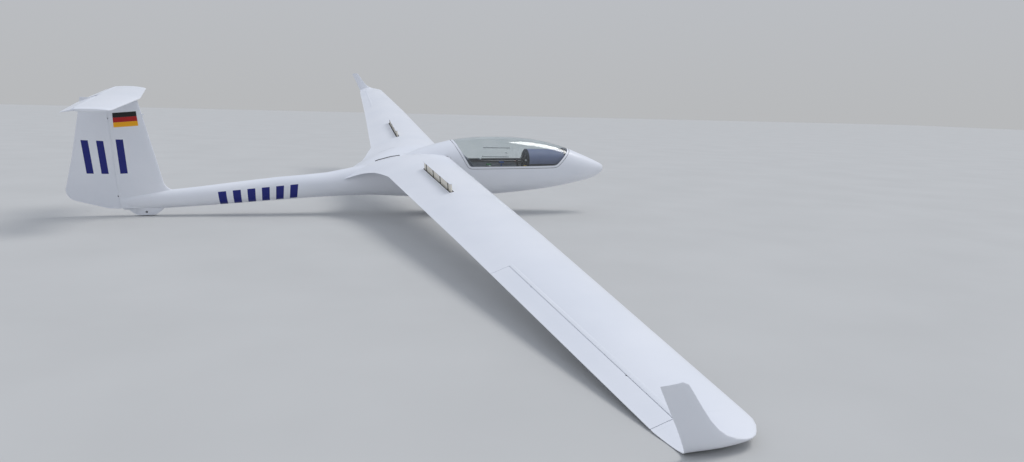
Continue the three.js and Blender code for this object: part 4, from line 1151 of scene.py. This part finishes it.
def tail_half(table, place, y):
    """Half the thickness of a tail surface at a plan place."""
    _, lead, trail, thickness = straight_row(table, place)
    s = (y - lead) / (trail - lead)
    return thickness / 2 * float(thickness_at(s)) + TRAILING_EDGE * s


def add_tapes():
    (inner_x, inner_y), (outer_x, outer_y) = AILERON["inner"], AILERON["outer"]
    for name, side in SIDES:
        form = Form(PANELS[name])

        def on_wing(t, offset, lift, under=False):
            x = inner_x - 4 + (outer_x - inner_x + 8) * t
            y = inner_y + (outer_y - inner_y) * (x - inner_x) / (outer_x - inner_x)
            spot = wing_point(x, y + offset, lift, under)
            return (side * spot.x, spot.y, spot.z)

        tape(form, on_wing, 60, AILERON_TAPE)
        tape(form, lambda t, offset, lift: on_wing(t, offset, lift, True), 60, AILERON_TAPE)
        form.make(f"aileron_tape_{name}", ["tape"], angle=60)
    fin = Form()
    for side in (-1, 1):

        def on_fin(t, offset, lift):
            z = RUDDER_TAPE_Z[0] + (RUDDER_TAPE_Z[1] - RUDDER_TAPE_Z[0]) * t
            (low_y, low_z), (high_y, high_z) = HINGE_LOW, HINGE_HIGH
            y = low_y + (high_y - low_y) * (z - low_z) / (high_z - low_z)
            half = tail_half(TAIL_STATIONS, z, y + offset)
            if z < 290:
                start = Vector((side * 300, y + min(offset, -3), z))
                hit, _, _, _ = HULL.ray_cast(start, Vector((-side, 0, 0)))
                half = max(half, abs(hit.x)) if hit and abs(hit.x) < 90 and offset < -20 else half
            return (side * (half + lift), y + offset, z)

        tape(fin, on_fin, 60, RUDDER_TAPE)
    fin.make("rudder_tape", ["tape"], angle=60)
    tail = Form()
    for side in (-1, 1):
        for up in (-1, 1):

            def on_tail(t, offset, lift):
                x = ELEVATOR_TAPE_X[0] + (ELEVATOR_TAPE_X[1] - ELEVATOR_TAPE_X[0]) * t
                half = tail_half(STABILIZER_STATIONS, x, ELEVATOR_Y + offset)
                return (side * x, ELEVATOR_Y + offset, STABILIZER_HEIGHT + up * (half + lift))

            tape(tail, on_tail, 50, ELEVATOR_TAPE)
    tail.make("elevator_tape", ["tape"], angle=60)


add_tapes()

# Spine cover and its dark strip of painted shade


def add_spine():
    def height(x, y):
        hit, _, _, _ = HULL.ray_cast(Vector((x, y, 1300)), Vector((0, 0, -1)))
        return hit.z

    def strip(form, start, end, count, half, crown, sink):
        rows = []
        for y in steps(start, end, count):
            left, right = height(-half - 3, y), height(half + 3, y)
            upper = []
            for share in (-1, -0.96, -0.6, -0.2, 0.2, 0.6, 0.96, 1):
                level = left + (right - left) * (share + 1) / 2
                rise = crown * (1 - share ** 2) if abs(share) < 1 else -sink
                upper.append((share * half, y, level + rise))
            lower = [(x, y, z - sink - 3) for x, _, z in reversed(upper)]
            rows.append([*upper, *lower])
        form.loops(rows)

    cover = Form()
    strip(cover, -250, 1080, 90, 27, 2.2, 1.0)
    cover.make("spine_cover", ["gelcoat"], angle=60)
    # Painted shade: the dark strip lies in the spine's recess as a dark sheet standing for the shade inside
    # it
    dark = Form()
    strip(dark, 361, 675, 30, 21, 5.5, -3.0)
    dark.make("spine_strip", ["dark"], angle=60)


add_spine()

# Airbrake arms, and the canopy's rails and catch


ARM_SHARES = (0.1, 0.37, 0.63, 0.9)


def add_airbrake_arms():
    (ax, ay), (bx, by) = AIRBRAKE["inner"], AIRBRAKE["outer"]
    start, end = wing_point(ax, ay), wing_point(bx, by)
    along = (end - start).normalized()
    aft = Vector((0, 0, 1)).cross(along).normalized()
    out = along.cross(aft)
    for name, side in SIDES:
        form = Form(PANELS[name])

        def spot(t, depth, height):
            place = start.lerp(end, t) + aft * depth + out * height
            return Vector((side * place.x, place.y, place.z))

        for share in ARM_SHARES:
            for face in (-1, 1):
                corners = [(share - 0.012, -8), (share + 0.008, -8), (share + 0.014, 74), (share - 0.006, 74)]
                form.loops([[spot(t, face * depth, height) for t, height in corners] for depth in (5.5, 8.6)])
                form.lathe([(0, 7), (2.2, 7), (2.6, 5)], spot(share + 0.004, face * 8, 58),
                           spot(0, face, 0) - spot(0, 0, 0), 16)
        form.make(f"airbrake_arms_{name}", ["dark"], f"airbrake_{name}", bevel=0.5)


def add_canopy_details():
    rails = Form()
    for z, reach in ((829, 7), (699, 7)):
        rows = []
        for y in steps(-1196, -814, 30):
            inner = [hull_x(y, level, 4) for level in (z - reach, z + reach)]
            rows.append([(inner[0] - 0.5, y, z - reach), (inner[1] - 0.5, y, z + reach),
                         (inner[1] - 7, y, z + reach), (inner[0] - 7, y, z - reach)])
        rails.loops(rows)
    rails.make("window_rails", ["white"], "canopy", bevel=0.8)
    knob = Form()
    x = hull_x(-1150, 760, 4)
    profile = [(0, 11), (4, 11), (8, 7), (16, 7), (18, 9), (22, 9), (23, 7)]
    knob.lathe(profile, (x - 1, -1150, 760), (-1, 0, 0), 24)
    knob.make("window_knob", ["white"], "canopy", bevel=0.6)
    catch = Form()
    for side in (-1, 1):
        wide = hull_x(-760, 676, 13)
        catch.paint = 0
        catch.box((side * (wide - 26) - 4, -800, 668), (side * (wide - 26) + 4, -740, 684))
        catch.loops([[(side * (wide - 1), y, 672), (side * (wide - 1), y, 682),
                      (side * (wide - 24), y, 682), (side * (wide - 24), y, 672)] for y in (-776, -764)])
        catch.paint = 1
        catch.lathe([(0, 8), (3, 10), (20, 10), (24, 6)], (side * (wide - 30), -770, 676), (0, -1, 0), 20)
    catch.make("canopy_catches", ["steel", "white"], "canopy", bevel=0.8)


add_airbrake_arms()
add_canopy_details()

# Cockpit

# Dials: x, z, radius, needle's angle
DIALS = [(-62, 770, 38, 40), (62, 770, 38, 150), (-62, 680, 38, 265), (62, 680, 38, 310), (0, 610, 28, 95)]
PANEL_FACE = -1322
SILL_HEIGHT = 646


def blade(form, base, turn, near, far, thick):
    """A flat bar on the panel that points at an angle; near and far are distances along and half widths."""
    side = Vector((math.cos(turn), 0, -math.sin(turn)))
    way = Vector((math.sin(turn), 0, math.cos(turn)))
    corners = (near, (near[0], -near[1]), (far[0], -far[1]), far)
    form.loops([[base + way * along + side * half + Vector((0, depth, 0)) for along, half in corners]
                for depth in (0, thick)])


def add_instruments():
    form = Form()
    for x, z, radius, angle in DIALS:
        form.paint = 0
        form.lathe([(0, radius - 5), (0, radius + 1), (3, radius + 1), (5, radius - 1), (5, radius - 4),
                    (2, radius - 5)], (x, PANEL_FACE, z), (0, 1, 0), 44, ring=True)
        form.paint = 1
        for k in range(24):
            long, wide = (6, 0.9) if k % 3 == 0 else (3, 0.5)
            blade(form, Vector((x, PANEL_FACE + 0.4, z)), 2 * math.pi * k / 24,
                  (radius - 7, wide), (radius - 7 - long, wide), 0.3)
        base = Vector((x, PANEL_FACE + 1.2, z))
        blade(form, base, math.radians(angle), (-8, 1.4), (radius - 9, 0.4), 0.5)
        form.paint = 2
        form.lathe([(0, 3.4), (2.4, 3.4), (3, 2.6)], base, (0, 1, 0), 18)
        for sx, sz in ((-1, -1), (1, -1), (-1, 1), (1, 1)):
            place = (x + sx * radius * 0.8, -1329.8, z + sz * radius * 0.8)
            form.lathe([(0, 3.2), (1.6, 3.2), (2.2, 2.2)], place, (0, 1, 0), 12)
    form.make("dial_faces", ["control_black", "tick_white", "steel"], bevel=0.25)
    knobs = Form()
    for x, z, radius, paint in ((-118, 730, 11, 0), (118, 730, 11, 0), (-112, 620, 9, 0), (112, 600, 10, 1),
                                (60, 590, 8, 0), (-60, 590, 8, 2)):
        knobs.paint = paint
        knobs.lathe([(0, radius * 0.6), (9, radius * 0.6), (9, radius), (20, radius), (23, radius * 0.7)],
                    (x, -1330, z), (0, 1, 0), 22)
    knobs.make("panel_knobs", ["white", "knob_yellow", "knob_red"], bevel=0.6)
    trim = Form()
    rows = []
    for k in range(41):
        turn = math.pi * k / 40
        x, z = 171 * math.cos(turn), 690 + 172 * math.sin(turn) ** 0.8
        rows.append([(x, -1354, z), (x, -1344, z + 1), (x * 0.97, -1344, z - 5), (x * 0.97, -1354, z - 5)])
    trim.loops(rows)
    trim.make("cover_edge", ["coaming"], bevel=1.0)


def add_stick():
    form = Form()
    profile = []
    for k in range(9):
        height = 2 + 9 * k
        radius = 46 - 3.6 * k
        profile += [(height, radius), (height + 4.5, radius - 7)]
    profile.append((88, 11.5))
    form.lathe([(0, 50), *profile], (0, -1262, 331), (0, 0.085, 1), 40)
    form.make("stick_gaiter", ["coaming"], angle=50)
    grip = Form()
    for k in range(7):
        low = Vector((0, -1240, 620)).lerp(Vector((0, -1222, 720)), 0.08 + 0.12 * k)
        grip.lathe([(-3.5, 15.6), (-2, 17.2), (2, 17.2), (3.5, 15.6)], low, (0, 0.177, 0.984), 30)
    grip.paint = 1
    grip.lathe([(0, 6), (5, 6), (6.5, 4.5)], (0, -1208, 700), (0, 1, -0.18), 20)
    grip.make("stick_grip", ["control_black", "knob_red"], bevel=0.5)


# Airbrake, trim and gear levers: x, y, height of the grip, paint
LEVERS = ((245, -1080, 70, "knob_blue"), (245, -900, 40, "knob_green"), (-245, -1050, 60, "control_black"))
GRIP_PROFILE = [(-34, 6), (-33, 11), (-28, 13.6), (-24, 12.6), (-12, 13.8), (-8, 12.8), (4, 13.8),
                (8, 12.8), (20, 13.8), (26, 12.8), (31, 13.6), (35, 9), (36, 4)]


def add_levers():
    form = Form()
    for x, y, _, _ in LEVERS:
        form.paint = 0
        form.box((x - 16, y - 70, 560.2), (x + 16, y + 70, 562.4))
        form.paint = 1
        form.box((x - 5, y - 60, 562.2), (x + 5, y + 60, 563.0))
        form.paint = 2
        for sy in (-64, 64):
            form.lathe([(0, 3.5), (1.4, 3.5), (2, 2.5)], (x, y + sy, 562.4), (0, 0, 1), 12)
    form.make("lever_gates", ["alloy", "dark", "steel"], bevel=0.4)
    grips = Form()
    for k, (x, y, height, _) in enumerate(LEVERS):
        grips.paint = k
        grips.lathe(GRIP_PROFILE, (x, y, 560 + height), (0, 1, 0), 28)
    grips.make("lever_grips", [row[3] for row in LEVERS], angle=50)
    pedals = Form()
    for x in (-75, 75):
        for k in range(6):
            z = 514 + 18 * k
            pedals.box((x - 38, -1924.2, z), (x + 38, -1920.5, z + 7))
        pedals.lathe([(0, 9), (4, 9), (5, 7)], (x, -1908, 440), (1, 0, 0), 16)
    pedals.make("pedal_treads", ["rubber"], bevel=0.8)


def add_coaming():
    """A soft black edge along each sill, inside the opening."""
    turns = [2 * math.pi * k / 10 for k in range(10)]
    for name, side in SIDES:
        form = Form()
        rows = []
        for y in steps(-1700, -520, 60):
            x = hull_x(y, SILL_HEIGHT, WALL)
            rows.append([(side * (x - 9 + 9 * math.cos(turn)), y, SILL_HEIGHT - 4 + 8 * math.sin(turn))
                         for turn in turns])
        form.loops(rows)
        form.make(f"sill_edge_{name}", ["coaming"], angle=60)


add_instruments()
add_stick()
add_levers()
add_coaming()

# Stage and light


def add_stage():
    size = 90
    mesh = bpy.data.meshes.new("floor")
    corners = [(-size, -size, 0), (size, -size, 0), (size, size, 0), (-size, size, 0)]
    mesh.from_pydata(corners, [], [(0, 1, 2, 3)])
    floor = add_object("floor", mesh)
    paint = Paint("floor", roughness=0.9)
    patchy = paint.spread(paint.noise(0.8, 3.0), 0.3, 0.7)
    paint.colour(paint.mix(patchy, (0.55, 0.55, 0.54, 1), (0.58, 0.58, 0.57, 1)))
    mesh.materials.append(paint.material)
    floor.location.z = -0.002
    sun = bpy.data.lights.new("key", "SUN")
    sun.energy = 1.2
    sun.angle = math.radians(28)
    sun.color = (1.0, 0.985, 0.96)
    lamp = add_object("key", sun)
    lamp.rotation_euler = Vector((-0.12, 0.52, -0.85)).to_track_quat("-Z", "Y").to_euler()
    world = bpy.data.worlds.new("studio")
    world.use_nodes = True
    tree = world.node_tree
    back = tree.nodes["Background"]
    back.inputs["Strength"].default_value = 0.72
    coords = add_node(tree, "ShaderNodeTexCoord").outputs["Generated"]
    height = add_node(tree, "ShaderNodeSeparateXYZ", [coords]).outputs["Z"]
    level = add_node(tree, "ShaderNodeMath", (height, 0.5, 0.5), operation="MULTIPLY_ADD").outputs[0]
    ramp = add_node(tree, "ShaderNodeValToRGB", [level])
    sky = ((0.48, (0.66, 0.67, 0.68, 1)), (0.8, (0.76, 0.82, 0.94, 1)))
    for stop, (position, colour) in zip(ramp.color_ramp.elements, sky):
        stop.position = position
        stop.color = colour
    tree.links.new(ramp.outputs[0], back.inputs["Color"])
    bpy.context.scene.world = world
    bpy.context.scene.view_settings.view_transform = "Standard"
    bpy.context.scene.view_settings.look = "None"


add_stage()
